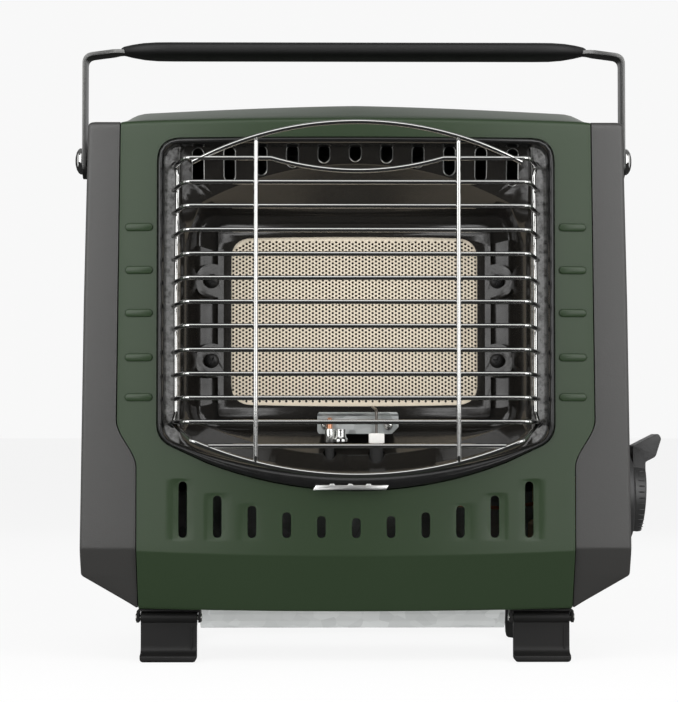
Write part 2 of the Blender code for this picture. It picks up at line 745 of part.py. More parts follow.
def wire_guard():
    """Welded from straight rods, two bars, two arched rods and two side rods that hook into the reflector."""
    side_x, side_y = GUARD_SIDE, 2.0
    bend_x = 83.4
    bar_x = 49.1
    wires = []
    for row in range(12):
        z = GUARD_TOP - GUARD_PITCH * row
        path = [(-side_x, side_y, z), (-bend_x, GUARD_FRONT, z)]
        if row == 0:
            path += [(-46, GUARD_FRONT, z), (-37, GUARD_FRONT, z - 6)]
            path += [(37, GUARD_FRONT, z - 6), (46, GUARD_FRONT, z)]
        path += [(bend_x, GUARD_FRONT, z), (side_x, side_y, z)]
        wires.append((path, GUARD_WIRE, 4.0))
    last = GUARD_TOP - GUARD_PITCH * 12
    wires.append(([(-72, GUARD_FRONT, last), (72, GUARD_FRONT, last)], GUARD_WIRE, 0.0))
    top_radius, low_radius = 171.0, 202.0
    top = [(x, GUARD_FRONT, 266.8 - top_radius + sqrt(top_radius**2 - x * x)) for x in range(-80, 81, 20)]
    wires.append((top, GUARD_WIRE, 0.0))
    low = [(x, GUARD_FRONT, 95.2 + low_radius - sqrt(low_radius**2 - x * x)) for x in range(-80, 81, 20)]
    ends = [(-side_x, side_y - 1, 120.4)], [(side_x, side_y - 1, 120.4)]
    wires.append((ends[0] + low + ends[1], GUARD_WIRE, 3.0))
    bar_y = GUARD_FRONT - BAR_STEP
    for side in (-1, 1):
        x = side * bar_x
        bar = [(x, GUARD_FRONT + 3, 259.3), (x, bar_y, 257.5), (x, bar_y, 103.0), (x, GUARD_FRONT + 4, 100.8)]
        wires.append((bar, BAR_WIRE, 3.0))
        (x_high, z_high), (x_low, z_low) = [(side * abs(x), z) for x, z in HOOK_HOLES[:2]]
        hook = [
            (x_high, 10.0, z_high),
            (x_high, 3.0, z_high),
            (side * 89.4, 1.0, z_high - 6),
            (side * 90.2, 1.0, 185.0),
            (side * 90.0, 1.0, z_low + 6),
            (x_low, 3.0, z_low),
            (x_low, 10.0, z_low),
        ]
        wires.append((hook, BAR_WIRE, 2.5))
    guard = None
    welded = bpy.data.collections.new("guard_wires")
    CUTTERS.children.link(welded)
    for number, (path, diameter, bend) in enumerate(wires):
        wire = rod(f"guard_wire_{number}", path, diameter, CHROME, bend=bend)
        if guard is None:
            guard = wire
            guard.name = "wire_guard"
            continue
        tool(wire)
        CUTTERS.objects.unlink(wire)
        welded.objects.link(wire)
    weld = guard.modifiers.new("weld", "BOOLEAN")
    weld.operation = "UNION"
    weld.solver = "EXACT"
    weld.operand_type = "COLLECTION"
    weld.collection = welded
    return guard


def heat_shield():
    """A sheet behind the burner that turns forward under the top panel."""
    path = fillet([(90.6, 84), (90.6, 240), (76, 266), (16, 270)], [0, 10, 8, 0], 3, closed=False)
    return prism("heat_shield", [band(path, 1.2)], "X", -98, 98, ZINC)


# ---------------------------------------------------------------- gas train


def gas_train():
    body = box("regulator_body", (101, 116, 36), (116, 160, 66), BRASS, bevel=2.0)
    join(body, box("regulator_arm", (102, 60, 64), (118, 124, 88), BRASS, bevel=2.0))
    join(body, cylinder("valve_barrel", "X", KNOB_AXIS, 96, 128, 11.0, BRASS))
    join(body, cylinder("regulator_collar", "X", CARTRIDGE_AXIS, 91, 104, 12.5, BRASS))
    cut(body, cylinder("stem_bore", "X", KNOB_AXIS, 112, 135, 4.4, BRASS, sides=16))
    cut(body, cylinder("inlet_bore", "X", CARTRIDGE_AXIS, 85, 101, 7.0, BRASS))
    seal = [(6.6, 100.6), (6.6, 98.0), (3.2, 98.0), (3.2, 100.6)]
    turned("inlet_seal", seal, "X", CARTRIDGE_AXIS, RUBBER, steps=20)
    pipe_y = 94.5
    path = [(110, pipe_y, 88.3), (110, pipe_y, 128), (108, 79, 150), (90.3, 79, 150)]
    rod("gas_pipe", path, 5.0, COPPER, bend=12.0)
    jet = [
        (0.0, 90.0),
        (4.6, 90.0),
        (4.6, 82.0),
        (2.6, 81.0),
        (2.6, 76.5),
        (1.2, 75.5),
        (0.0, 75.5),
    ]
    turned("gas_jet", jet, "X", MIXER_AXIS, BRASS, steps=12)
    tube = [
        (9.0, 68.0),
        (7.0, 60.0),
        (6.0, 40.0),
        (7.0, -24.0),
        (0.0, -24.0),
        (0.0, -22.8),
        (5.9, -22.8),
        (5.0, 40.0),
        (6.0, 60.0),
        (8.0, 68.0),
    ]
    mixer = turned("mixing_tube", tube, "X", MIXER_AXIS, ZINC, steps=14)
    join(mixer, cylinder_y("mixer_port", (-12.0, MIXER_AXIS[1]), 70.4, 76.0, 5.5, ZINC))
    cut(mixer, cylinder_y("mixer_port_bore", (-12.0, MIXER_AXIS[1]), 65.0, 79.0, 4.0, ZINC))
    button = [
        (0.0, 128.0),
        (3.0, 128.0),
        (3.0, 122.0),
        (8.0, 121.0),
        (8.0, 96.0),
        (3.0, 95.0),
        (3.0, 92.0),
        (0.0, 92.0),
    ]
    turned("piezo_igniter", button, "X", IGNITER_AXIS, BLACK_PLASTIC, steps=12)
    lead = [
        (91.4, *IGNITER_AXIS),
        (82, 70, 111.5),
        (68, 62, 100),
        (30, 38, 91),
        (13, 22, 88),
        (*ELECTRODE, 95.6),
    ]
    rod("ignition_lead", lead, 2.6, RUBBER, bend=8.0)
    capillary = [(*THERMOCOUPLE, 99.6), (-12, 24, 88), (20, 40, 80), (78, 62, 76), (95.6, 68, 78)]
    rod("thermocouple_lead", capillary, 1.8, COPPER, bend=8.0)


# ---------------------------------------------------------------- handle, knob and feet


def handle():
    pivot = pivot_on("handle_axis", HANDLE_AXIS)
    y, z = HANDLE_AXIS
    half = [(ARM_X, z - 9.5), (ARM_X, 313.4), (124.0, 316.8)]
    path = half + [(-x, level) for x, level in reversed(half)]
    path = fillet(path, [0, 5, 8, 8, 5, 0], 3, closed=False)
    strap = prism("handle_strap", [band(path, 2.0)], "Y", y - 7.5, y + 7.5, BRIGHT_STEEL, pivot)
    cut(strap, cylinder("strap_holes", "X", HANDLE_AXIS, -150, 150, 3.2, BRIGHT_STEEL, pivot, sides=12))
    leaf = [(-123, y - 3), (-104, y - 12.3), (104, y - 12.3), (123, y - 3)]
    leaf += [(x, 2 * y - v) for x, v in reversed(leaf)]
    grip = prism("handle_grip", [fillet(leaf, 5.0, 3)], "Z", 312.9, 321.6, BLACK_PLASTIC, pivot)
    soften(grip, 2.0)
    cut(grip, box("grip_slot", (-130, y - 8.0, 315.4), (130, y + 8.0, 318.2), BLACK_PLASTIC, pivot))
    for name, side in (("left", -1), ("right", 1)):
        spacer = [(5.0, 140.7), (5.0, 135.1), (3.1, 135.1), (3.1, 140.7)]
        bolt = [
            (0.0, BOLT_REACH),
            (4.5, BOLT_REACH - 0.6),
            (7.0, 144.6),
            (7.0, 143.3),
            (2.8, 143.3),
            (2.8, 127.0),
            (0.0, 127.0),
        ]
        for part, profile, material in (("spacer", spacer, ZINC), ("bolt", bolt, CHROME)):
            piece = turned(f"{name}_handle_{part}", profile, "X", HANDLE_AXIS, material, steps=18)
            if side < 0:
                mirror_x(piece)


def mirror_x(obj):
    """Turn a piece half round so that it serves the other side."""
    y = HANDLE_AXIS[0] * MM
    about = Matrix.Translation((0, y, 0)) @ Matrix.Rotation(pi, 4, "Z") @ Matrix.Translation((0, -y, 0))
    obj.data.transform(about)


def soften(obj, width):
    """Round an object's sharper edges."""
    bevel = obj.modifiers.new("round", "BEVEL")
    bevel.width = width * MM
    bevel.segments = 1
    bevel.limit_method = "ANGLE"
    bevel.angle_limit = 1.0


def control_knob():
    """A disc with a lever that leans out from its top, over a round plate on the side cover."""
    pivot = pivot_on("knob_axis", KNOB_AXIS)
    y = KNOB_AXIS[0]
    back, front = 147.3, 154.0
    plate = [(24.5, back - GAP), (24.5, 138.6), (5.2, 138.6), (5.2, back - GAP)]
    turned("knob_escutcheon", plate, "X", KNOB_AXIS, BLACK_PLASTIC, steps=24)
    rim, face = 18.4, 17.6
    knob = cylinder("control_knob", "X", KNOB_AXIS, back, front, rim, BLACK_PLASTIC, pivot, 24, face)
    lever = [
        (back + 0.1, 88.0),
        (front, 88.0),
        (front, 100.2),
        (159.4, 103.0),
        (KNOB_REACH, 112.6),
        (160.8, 115.4),
        (back + 0.1, 108.6),
    ]
    lever = fillet(lever, [0, 0, 1.5, 3, 1.5, 1.5, 1.5])
    join(knob, prism("knob_lever", [lever], "Y", y - 9, y + 9, BLACK_PLASTIC, pivot))
    cut(knob, cylinder("knob_bore", "X", KNOB_AXIS, 140, 151.0, 4.4, BLACK_PLASTIC, pivot, sides=16))
    cylinder("valve_stem", "X", KNOB_AXIS, 113, 150.7, 4.0, BRASS, pivot, sides=16)
    return knob


def front_foot(name, side):
    """A plate that swings on a pin between a bracket's two ears, with a toe in front of the pin."""
    centre = side * FOOT_X
    pivot = pivot_on(f"{name}_foot_axis", FOOT_AXIS, centre)
    y, z = FOOT_AXIS
    half, ear_start, ear_end, pin_end = 14.2, 14.6, 16.0, 16.8
    outline = fillet(
        [(y - 1.6, z), (y - 1.6, 4.0), (y - 9.0, 3.2), (y - 9.0, 0.0), (y + 2.4, 0.0), (y + 2.4, z)],
        [0, 3, 1, 1.5, 2, 0],
    )
    foot = prism(f"{name}_foot", [outline], "X", centre - half, centre + half, BLACK_STEEL, pivot)
    barrel = cylinder(f"{name}_barrel", "X", FOOT_AXIS, centre - half, centre + half, 3.1, BLACK_STEEL, pivot)
    join(foot, barrel)
    pin_ends = centre - pin_end, centre + pin_end
    bore = cylinder(f"{name}_bore", "X", FOOT_AXIS, *pin_ends, 1.7, BLACK_STEEL, pivot, sides=10)
    cut(foot, bore)
    cylinder(f"{name}_foot_pin", "X", FOOT_AXIS, *pin_ends, 1.4, BRIGHT_STEEL, sides=10)
    top = BODY_BOTTOM - 0.8
    low, high = (centre - ear_end, y - 4, top - 0.7), (centre + ear_end, y + 10, top)
    bracket = box(f"{name}_foot_bracket", low, high, BLACK_STEEL)
    for end in (-1, 1):
        ear = rectangle(y - 3.6, z - 3.6, y + 3.6, top - 0.2, 2.0)
        ends = sorted((centre + end * ear_start, centre + end * ear_end))
        join(bracket, prism(f"{name}_ear_{end}", [ear, ring((y, z), 1.7, 10)], "X", *ends, BLACK_STEEL))
    return foot


def rear_foot(name, side):
    profile = [(0.0, PAN_Z - GAP), (11.0, PAN_Z - GAP), (9.5, 2.0), (8.5, 0.0), (0.0, 0.0)]
    return turned(f"{name}_rear_foot", profile, "Z", (side * 97.0, 150.0), RUBBER, steps=20)


front_shell()
side_cover("left_side_cover", -1)
side_cover("right_side_cover", 1)
rear_cover()
cartridge_door()
base_pan()
cartridge_tray()
cartridge_clip()
window_bezel()
bezel_tab()
reflector()
burner()
ignition_parts()
wire_guard()
heat_shield()
gas_train()
handle()
control_knob()
for foot_name, foot_side in (("left", -1), ("right", 1)):
    front_foot(foot_name, foot_side)
    rear_foot(foot_name, foot_side)
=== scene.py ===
"""The looks of the portable gas heater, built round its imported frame."""

from math import atan2, cos, pi, radians, sin, sqrt, tan

import bmesh
import bpy
from mathutils import Matrix, Vector
from mathutils.bvhtree import BVHTree


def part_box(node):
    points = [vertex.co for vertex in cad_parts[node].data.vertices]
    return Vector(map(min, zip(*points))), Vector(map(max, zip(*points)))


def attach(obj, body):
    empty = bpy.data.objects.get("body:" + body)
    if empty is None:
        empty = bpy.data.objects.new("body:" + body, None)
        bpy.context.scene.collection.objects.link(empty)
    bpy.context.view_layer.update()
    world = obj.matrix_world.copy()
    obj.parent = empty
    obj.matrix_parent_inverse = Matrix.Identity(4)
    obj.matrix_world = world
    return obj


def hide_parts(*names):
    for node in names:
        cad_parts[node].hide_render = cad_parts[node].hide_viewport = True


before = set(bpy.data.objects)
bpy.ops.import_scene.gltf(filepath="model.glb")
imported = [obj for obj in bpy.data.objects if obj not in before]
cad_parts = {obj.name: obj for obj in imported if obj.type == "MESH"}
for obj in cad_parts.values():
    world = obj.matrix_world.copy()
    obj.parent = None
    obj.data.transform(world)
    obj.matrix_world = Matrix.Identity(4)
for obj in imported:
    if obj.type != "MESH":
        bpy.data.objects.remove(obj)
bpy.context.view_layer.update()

# ---------------------------------------------------------------- the room
# A pale table top in a dim studio, with soft boxes to the left, the right and above.
# The table is not part of the heater. Lengths are millimetres in the heater's own frame:
# X to the right, Y to the back from the front panel's edge, Z up from the ground.

MM = 0.001
shell_low, shell_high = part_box("front_shell")
MID_X = (shell_low.x + shell_high.x) / 2
FRONT_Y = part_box("left_side_cover")[0].y
INTO_FRAME = Matrix.Translation((MID_X, FRONT_Y, 0.0)) @ Matrix.Scale(MM, 4)
COLLECTION = bpy.context.scene.collection


def at(x, y, z):
    """A place in the heater's frame, in metres."""
    return INTO_FRAME @ Vector((x, y, z))


class Tone:
    """A socket that takes part in sums: an expression on values adds its Math nodes."""

    def __init__(self, tree, socket=None):
        self.tree = tree
        self.socket = socket

    def node(self, kind, settings=None, sockets=None, out=0):
        made = self.tree.nodes.new(kind)
        for key, value in (settings or {}).items():
            if key == "stops":
                ramp = made.color_ramp
                for k, (place, colour) in enumerate(value):
                    stop = ramp.elements[k] if k < 2 else ramp.elements.new(place)
                    stop.position = place
                    stop.color = colour
            else:
                setattr(made, key, value)
        for key, value in (sockets or {}).items():
            if isinstance(value, Tone):
                self.tree.links.new(value.socket, made.inputs[key])
            else:
                made.inputs[key].default_value = value
        return Tone(self.tree, made.outputs[out])

    def maths(self, operation, *values):
        return self.node("ShaderNodeMath", {"operation": operation}, dict(enumerate(values)))

    def by(self, operation, *others):
        return self.maths(operation, self, *others)

    def __add__(self, other):
        return self.maths("ADD", self, other)

    def __sub__(self, other):
        return self.maths("SUBTRACT", self, other)

    def __mul__(self, other):
        return self.maths("MULTIPLY", self, other)

    def __truediv__(self, other):
        return self.maths("DIVIDE", self, other)

    def __gt__(self, other):
        return self.maths("GREATER_THAN", self, other)

    def __rsub__(self, other):
        return self.maths("SUBTRACT", other, self)

    __radd__ = __add__
    __rmul__ = __mul__

    def mix(self, low, high):
        """A colour between two colours, with this value as the share of the second."""
        settings = {"data_type": "RGBA", "clamp_factor": True}
        return self.node("ShaderNodeMix", settings, {0: self, 6: low, 7: high}, out=2)


def colour(red, green, blue):
    return (red, green, blue, 1.0)


floor_mesh = bpy.data.meshes.new("table_top")
floor_work = bmesh.new()
bmesh.ops.create_grid(floor_work, x_segments=1, y_segments=1, size=30.0)
floor_work.to_mesh(floor_mesh)
floor_work.free()
floor = bpy.data.objects.new("table_top", floor_mesh)
floor.location.z = -0.0002
floor.visible_glossy = False
COLLECTION.objects.link(floor)

pale = bpy.data.materials.new("table_paper")
pale.use_nodes = True
paper = Tone(pale.node_tree)
fibre = paper.node("ShaderNodeTexNoise", sockets={"Scale": 60.0, "Detail": 3.0})
paper_shader = pale.node_tree.nodes["Principled BSDF"]
paper_shader.inputs["Roughness"].default_value = 1.0
paper_shader.inputs["Specular IOR Level"].default_value = 0.0
paper_tint = fibre.mix(colour(0.10, 0.10, 0.10), colour(0.12, 0.12, 0.12))
pale.node_tree.links.new(paper_tint.socket, paper_shader.inputs["Base Color"])
paper_shader.inputs["Emission Color"].default_value = colour(1.0, 1.0, 1.0)
shown = paper.node("ShaderNodeLightPath")
bounce = shown * -0.22 + 1.10
pale.node_tree.links.new(bounce.socket, paper_shader.inputs["Emission Strength"])
floor_mesh.materials.append(pale)
bpy.context.scene.view_settings.view_transform = "Standard"

world = bpy.data.worlds.new("studio")
bpy.context.scene.world = world
world.use_nodes = True
air = Tone(world.node_tree)
seen = air.node("ShaderNodeLightPath")
way = air.node("ShaderNodeTexCoord")
upward = air.node("ShaderNodeSeparateXYZ", sockets={0: way}, out=2)
glow = air.node("ShaderNodeMapRange", sockets={0: upward, 1: 0.15, 2: 0.75, 3: 0.045, 4: 0.24})
room = air.node("ShaderNodeBackground", sockets={"Color": colour(1.0, 1.0, 1.0), "Strength": glow})
backdrop = air.node("ShaderNodeBackground", sockets={"Color": colour(1.0, 1.0, 1.0), "Strength": 0.94})
mixed = air.node("ShaderNodeMixShader", sockets={0: seen, 1: room, 2: backdrop})
world.node_tree.links.new(mixed.socket, world.node_tree.nodes["World Output"].inputs["Surface"])


def soft_box(name, place, aim, width, height, power):
    """A rectangular studio light aimed at a point."""
    light = bpy.data.lights.new(name, "AREA")
    light.shape = "RECTANGLE"
    light.size = width
    light.size_y = height
    light.energy = power
    lamp = bpy.data.objects.new(name, light)
    lamp.location = at(*place)
    lamp.rotation_euler = (at(*aim) - lamp.location).to_track_quat("-Z", "Y").to_euler()
    COLLECTION.objects.link(lamp)


soft_box("left_box", (-800, -780, 570), (-60, 0, 170), 0.8, 1.1, 9.0)
soft_box("right_box", (800, -780, 570), (60, 0, 170), 0.8, 1.1, 8.5)
soft_box("front_top_box", (0, -700, 1150), (0, 0, 170), 1.3, 0.6, 5.0)
soft_box("left_strip", (-390, -980, 330), (-100, 0, 170), 0.14, 1.0, 1.8)
soft_box("right_strip", (390, -980, 330), (100, 0, 170), 0.14, 1.0, 1.8)
soft_box("left_side_box", (-1000, 100, 350), (-100, 60, 170), 0.6, 1.0, 2.0)
soft_box("right_side_box", (1000, 100, 350), (100, 60, 170), 0.6, 1.0, 2.0)
soft_box("back_box", (200, 1100, 700), (0, 180, 150), 1.2, 0.8, 2.2)

camera_data = bpy.data.cameras.new("camera")
camera_data.sensor_fit = "HORIZONTAL"
camera_data.sensor_width = 36.0
camera_data.lens = 116.8
camera = bpy.data.objects.new("camera", camera_data)
camera.location = at(-20, -1100, 117)
camera.rotation_euler = (radians(92.06), 0.0, radians(-0.6))
COLLECTION.objects.link(camera)
bpy.context.scene.camera = camera


# ---------------------------------------------------------------- front shell
# One pressed steel sheet that wraps from the bottom return, up the crowned front and over
# the top to a lip at the back. It is powder coated green, with pressed slots and vents.

SHEET = 1.2
GAP = 0.6
PANEL_HALF = 119.0
BODY_BACK = 187.5
RIB_ROWS = (218.5, 197.0, 175.5, 153.3, 133.4)
VENT_PITCH = 17.25
VENT_FOOT = 63.5
VENT_WIDTH = 4.3
VENT_TOPS = (73.5, 74.5, 76.3, 79.5, 84.5, 91.5)


def crown(x):
    """How far the front panel stands forward of its edges."""
    return -8.0 * max(0.0, 1 - (x / PANEL_HALF) ** 2)


def fillet(points, radius, steps=5, closed=True):
    """The corners of a line or loop rounded, with one radius or one for each corner."""
    points = [Vector(p) for p in points]
    count = len(points)
    radii = radius if isinstance(radius, (list, tuple)) else [radius] * count
    rounded = []
    for i, corner in enumerate(points):
        before = points[i - 1] - corner
        after = points[(i + 1) % count] - corner
        if radii[i] == 0 or (not closed and i in (0, count - 1)):
            rounded.append(corner)
            continue
        turn = pi - before.angle(after)
        reach = min(radii[i] * tan(turn / 2), 0.48 * before.length, 0.48 * after.length)
        start = corner + before.normalized() * reach
        end = corner + after.normalized() * reach
        for k in range(steps + 1):
            t = k / steps
            rounded.append(start * (1 - t) ** 2 + corner * 2 * t * (1 - t) + end * t * t)
    return [tuple(p) for p in rounded]


def arc(centre, radius, start, end, steps):
    angles = [start + (end - start) * k / steps for k in range(steps + 1)]
    return [(centre[0] + radius * cos(a), centre[1] + radius * sin(a)) for a in angles]


def ring(centre, radius, steps=32):
    return arc(centre, radius, 0, 2 * pi * (steps - 1) / steps, steps - 1)


def stadium(start, end, width, steps=10):
    """A slot with round ends, from one end's centre to the other's."""
    heading = atan2(end[1] - start[1], end[0] - start[0])
    return arc(end, width / 2, heading - pi / 2, heading + pi / 2, steps) + arc(
        start, width / 2, heading + pi / 2, heading + 3 * pi / 2, steps
    )


def rectangle(x0, y0, x1, y1, radius=0.0, steps=6):
    corners = [(x0, y0), (x1, y0), (x1, y1), (x0, y1)]
    return fillet(corners, radius, steps) if radius else corners


def cover_seam(clearance=0.0):
    """The line between the front panel and the side cover, from the top down."""
    jog = []
    for k in range(13):
        t = k / 12
        ease = t * t * (3 - 2 * t)
        jog.append((120.0 - 10.0 * ease - clearance, 122.0 - 23.5 * t))
    return [(118.5 - clearance, 272.0)] + jog


def dome_outline(half, top, bottom, radius, corner, along=24):
    """Upright sides, a level top and a bottom that hangs in an arc."""
    centre = bottom + radius
    xs = [half * (2 * k / along - 1) for k in range(along + 1)]
    xs = [x for x in xs if abs(x) == half or abs(x) < half - 1.4 * corner]
    along = len(xs) - 1
    low = [(x, centre - sqrt(radius**2 - x**2)) for x in xs]
    high = [(-x, top) for x in xs]
    corners = [corner] + [0] * (along - 1) + [corner]
    return fillet(low + high, corners + corners, 7)


def window_outline(margin=0.0):
    return dome_outline(99.0 + margin, 262.7 + margin, 87.3 - margin, 208.0, 12.0 + margin)


RECESS_HEIGHTS = [VENT_FOOT - 2.0, VENT_FOOT - 1.0, VENT_FOOT - 0.3]
RECESS_HEIGHTS += sorted(t + d for t in VENT_TOPS[3:] for d in (0.3, 1.0, 1.8))


def shell_corners(x):
    """The shell's section at one X, from its bottom return over the top to the back lip."""
    bulge = max(0.0, 1 - (x / PANEL_HALF) ** 2)
    front = crown(x)
    low = 27.3 - 1.2 * bulge
    top = 271.5 + 0.9 * bulge
    if abs(x) <= 104.5:
        crest = 284.0 - 4.0 * abs(x / 104.5) ** 1.4
    else:
        drop = min(1.0, (abs(x) - 104.5) / 13.8)
        crest = 272.0 + 8.0 * sqrt(max(0.0, 1 - drop**2))
    corners = [(34 + front, low), (14 + front, low), (front, 57 - 2.5 * bulge)]
    corners += [(front, z) for z in RECESS_HEIGHTS]
    corners += [(front, top), (28, crest), (BODY_BACK - 10, crest)]
    corners += [(BODY_BACK, crest - 10), (BODY_BACK, 250)]
    radii = [0, 3, 3] + [0] * len(RECESS_HEIGHTS) + [3, 9, 0, 8, 0]
    return fillet(corners, radii, 5, closed=False)


def along(points):
    return [(Vector(b) - Vector(a)).length for a, b in zip(points, points[1:])]


SHELL_PIECES = [max(1, round(length / 7.5)) for length in along(shell_corners(0.0))]


def shell_profile(x):
    """The section's points with its long runs divided, as many at every X."""
    points = shell_corners(x)
    rows = []
    for first, second, pieces in zip(points, points[1:], SHELL_PIECES):
        rows += [tuple(Vector(first).lerp(Vector(second), k / pieces)) for k in range(pieces)]
    return rows + [points[-1]]


def pressed(x, z):
    """How deep the panel is pressed in beside the taller slots, on the side away from the middle."""
    depth = 0.0
    for k in (3, 4, 5):
        outer = abs(x) - (VENT_PITCH * k + VENT_WIDTH / 2)
        top = VENT_TOPS[k]
        if -VENT_WIDTH <= outer <= 3.4 and VENT_FOOT - 0.4 <= z <= top + 0.4:
            depth = {3: 0.2, 4: 0.35, 5: 0.5}[k] * (0.45 + 0.55 * (1 - max(outer, 0.0) / 3.4))
    return depth


def piece_from(name, work):
    """An object from a bmesh in the heater's millimetres, placed in the frame."""
    mesh = bpy.data.meshes.new(name)
    work.to_mesh(mesh)
    work.free()
    mesh.transform(INTO_FRAME)
    piece = bpy.data.objects.new(name, mesh)
    COLLECTION.objects.link(piece)
    return piece


def face_towards(work, way):
    """Turn all faces round if most of an open sheet looks away from a direction."""
    work.normal_update()
    if sum(f.calc_area() * f.normal.dot(Vector(way)) for f in work.faces) < 0:
        bmesh.ops.reverse_faces(work, faces=work.faces)


def join_rings(work, rings):
    """Faces between closed rings of vertices, in order; a ring of one vertex is a tip."""
    for first, second in zip(rings, rings[1:]):
        count = max(len(first), len(second))
        for k in range(count):
            n = (k + 1) % count
            if len(first) == 1:
                work.faces.new((first[0], second[k], second[n]))
            elif len(second) == 1:
                work.faces.new((first[k], second[0], first[n]))
            else:
                work.faces.new((first[k], first[n], second[n], second[k]))


def plain_mesh(piece):
    """Turn an object with its modifiers into a plain mesh."""
    bpy.context.view_layer.update()
    graph = bpy.context.evaluated_depsgraph_get()
    mesh = bpy.data.meshes.new_from_object(piece.evaluated_get(graph))
    mesh.name = piece.name
    if piece.type == "MESH":
        piece.modifiers.clear()
        piece.data = mesh
        return piece
    solid = bpy.data.objects.new(piece.name, mesh)
    COLLECTION.objects.link(solid)
    bpy.data.objects.remove(piece)
    return solid


EXTRUDED_ALONG = {
    "X": Matrix.Rotation(pi / 2, 4, "Z") @ Matrix.Rotation(pi / 2, 4, "X"),
    "Y": Matrix.Rotation(pi / 2, 4, "X"),
    "Z": Matrix.Identity(4),
}


def prism(name, loops, along, start, end):
    """Flat loops, the inner ones holes, extruded along an axis."""
    curve = bpy.data.curves.new(name, "CURVE")
    curve.dimensions = "2D"
    curve.fill_mode = "BOTH"
    curve.extrude = (end - start) / 2
    for loop in loops:
        spline = curve.splines.new("POLY")
        spline.points.add(len(loop) - 1)
        spline.use_cyclic_u = True
        for point, (u, v) in zip(spline.points, loop):
            point.co = (u, v, 0.0, 1.0)
    shift = Vector((0, 0, 0))
    shift["XYZ".index(along)] = (start + end) / 2
    block = bpy.data.objects.new(name, curve)
    COLLECTION.objects.link(block)
    block = plain_mesh(block)
    work = bmesh.new()
    work.from_mesh(block.data)
    bmesh.ops.remove_doubles(work, verts=work.verts, dist=1e-4)
    bmesh.ops.transform(work, matrix=Matrix.Translation(shift) @ EXTRUDED_ALONG[along], verts=work.verts)
    bmesh.ops.recalc_face_normals(work, faces=work.faces)
    work.to_mesh(block.data)
    work.free()
    block.data.transform(INTO_FRAME)
    return block


def combine(piece, other, operation, solver="MANIFOLD"):
    """Change a piece with a Boolean, and take the tool away."""
    change = piece.modifiers.new("change", "BOOLEAN")
    change.operation = operation
    change.solver = solver
    change.object = other
    plain_mesh(piece)
    bpy.data.objects.remove(other)
    return piece


def round_edges(piece, width, segments=2, angle=30):
    bevel = piece.modifiers.new("edges", "BEVEL")
    bevel.width = width * MM
    bevel.segments = segments
    bevel.limit_method = "ANGLE"
    bevel.angle_limit = radians(angle)
    bevel.harden_normals = False
    return plain_mesh(piece)


def thicken(piece, wall, offset):
    sheet = piece.modifiers.new("sheet", "SOLIDIFY")
    sheet.thickness = wall * MM
    sheet.offset = offset
    sheet.use_even_offset = True
    return plain_mesh(piece)


def dress(piece, material, angle=35):
    """Give a finished piece its material and its smooth and sharp edges."""
    piece.data.materials.clear()
    piece.data.materials.append(material)
    piece.data.shade_smooth()
    piece.data.set_sharp_from_angle(angle=radians(angle))
    return piece


def hand_over(piece, body, slot, *nodes):
    """Fix a piece to its body and hide the frame nodes it stands for; the slot is not used."""
    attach(piece, body)
    if nodes:
        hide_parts(*nodes)


def new_finish(name):
    """A material, with its Principled shader's inputs and a Tone for its nodes."""
    material = bpy.data.materials.new(name)
    material.use_nodes = True
    shader = material.node_tree.nodes["Principled BSDF"]
    return material, shader.inputs, Tone(material.node_tree)


def feed(inputs, **values):
    """Values or links for a shader's sockets; an underscore stands for a space."""
    for key, value in values.items():
        socket = inputs[key.replace("_", " ")]
        if isinstance(value, Tone):
            value.tree.links.new(value.socket, socket)
        else:
            socket.default_value = value


def noise(tone, scale, detail=2.0, stretch=None):
    """Noise on object coordinates, drawn out along an axis where a stretch is given."""
    place = tone.node("ShaderNodeTexCoord", out=3)
    if stretch:
        place = tone.node("ShaderNodeMapping", sockets={"Vector": place, "Scale": stretch})
    return tone.node("ShaderNodeTexNoise", sockets={"Vector": place, "Scale": scale, "Detail": detail})


def relief(tone, height, strength, depth):
    """A Bump node for a height, with its depth in millimetres."""
    sockets = {"Strength": strength, "Distance": depth * MM, "Height": height}
    return tone.node("ShaderNodeBump", sockets=sockets)


def green_powder_coat():
    material, inputs, tone = new_finish("green_powder_coat")
    flow = noise(tone, 14.0, 3.0)
    orange_peel = noise(tone, 520.0, 2.0)
    grit = noise(tone, 2600.0, 1.0)
    feed(
        inputs,
        Base_Color=flow.mix(colour(0.0170, 0.0315, 0.0130), colour(0.0200, 0.0350, 0.0160)),
        Roughness=0.30 + 0.10 * grit,
        Specular_IOR_Level=0.33,
        Normal=relief(tone, orange_peel + 0.4 * grit, 0.15, 0.03),
    )
    return material


def row_of(values, spacing, low, high):
    """Evenly spaced places between two ends, with some wanted places added."""
    count = round((high - low) / spacing)
    even = [low + (high - low) * k / count for k in range(count + 1)]
    wanted = [v for v in values if low < v < high]
    clear = [v for v in even if all(abs(v - w) > 0.3 * spacing for w in wanted)]
    return sorted(clear + wanted)


recess_columns = []
for k in (3, 4, 5):
    edge = VENT_PITCH * k + VENT_WIDTH / 2
    for side in (-1, 1):
        recess_columns += [side * (edge + d) for d in (-2.0, 0.0, 1.2, 2.4, 3.3, 3.9)]
shell_columns = row_of(recess_columns, 3.2, -121.0, 121.0)
shell_work = bmesh.new()
grid = []
for x in shell_columns:
    places = [(x, y + (pressed(x, z) if y < 10 else 0.0), z) for y, z in shell_profile(x)]
    grid.append([shell_work.verts.new(place) for place in places])
for left, right in zip(grid, grid[1:]):
    for k in range(len(left) - 1):
        shell_work.faces.new((left[k], left[k + 1], right[k + 1], right[k]))
bmesh.ops.recalc_face_normals(shell_work, faces=shell_work.faces)
face_towards(shell_work, (0, -1, 0.5))
front_shell = thicken(piece_from("front_shell_sheet", shell_work), SHEET, -1.0)

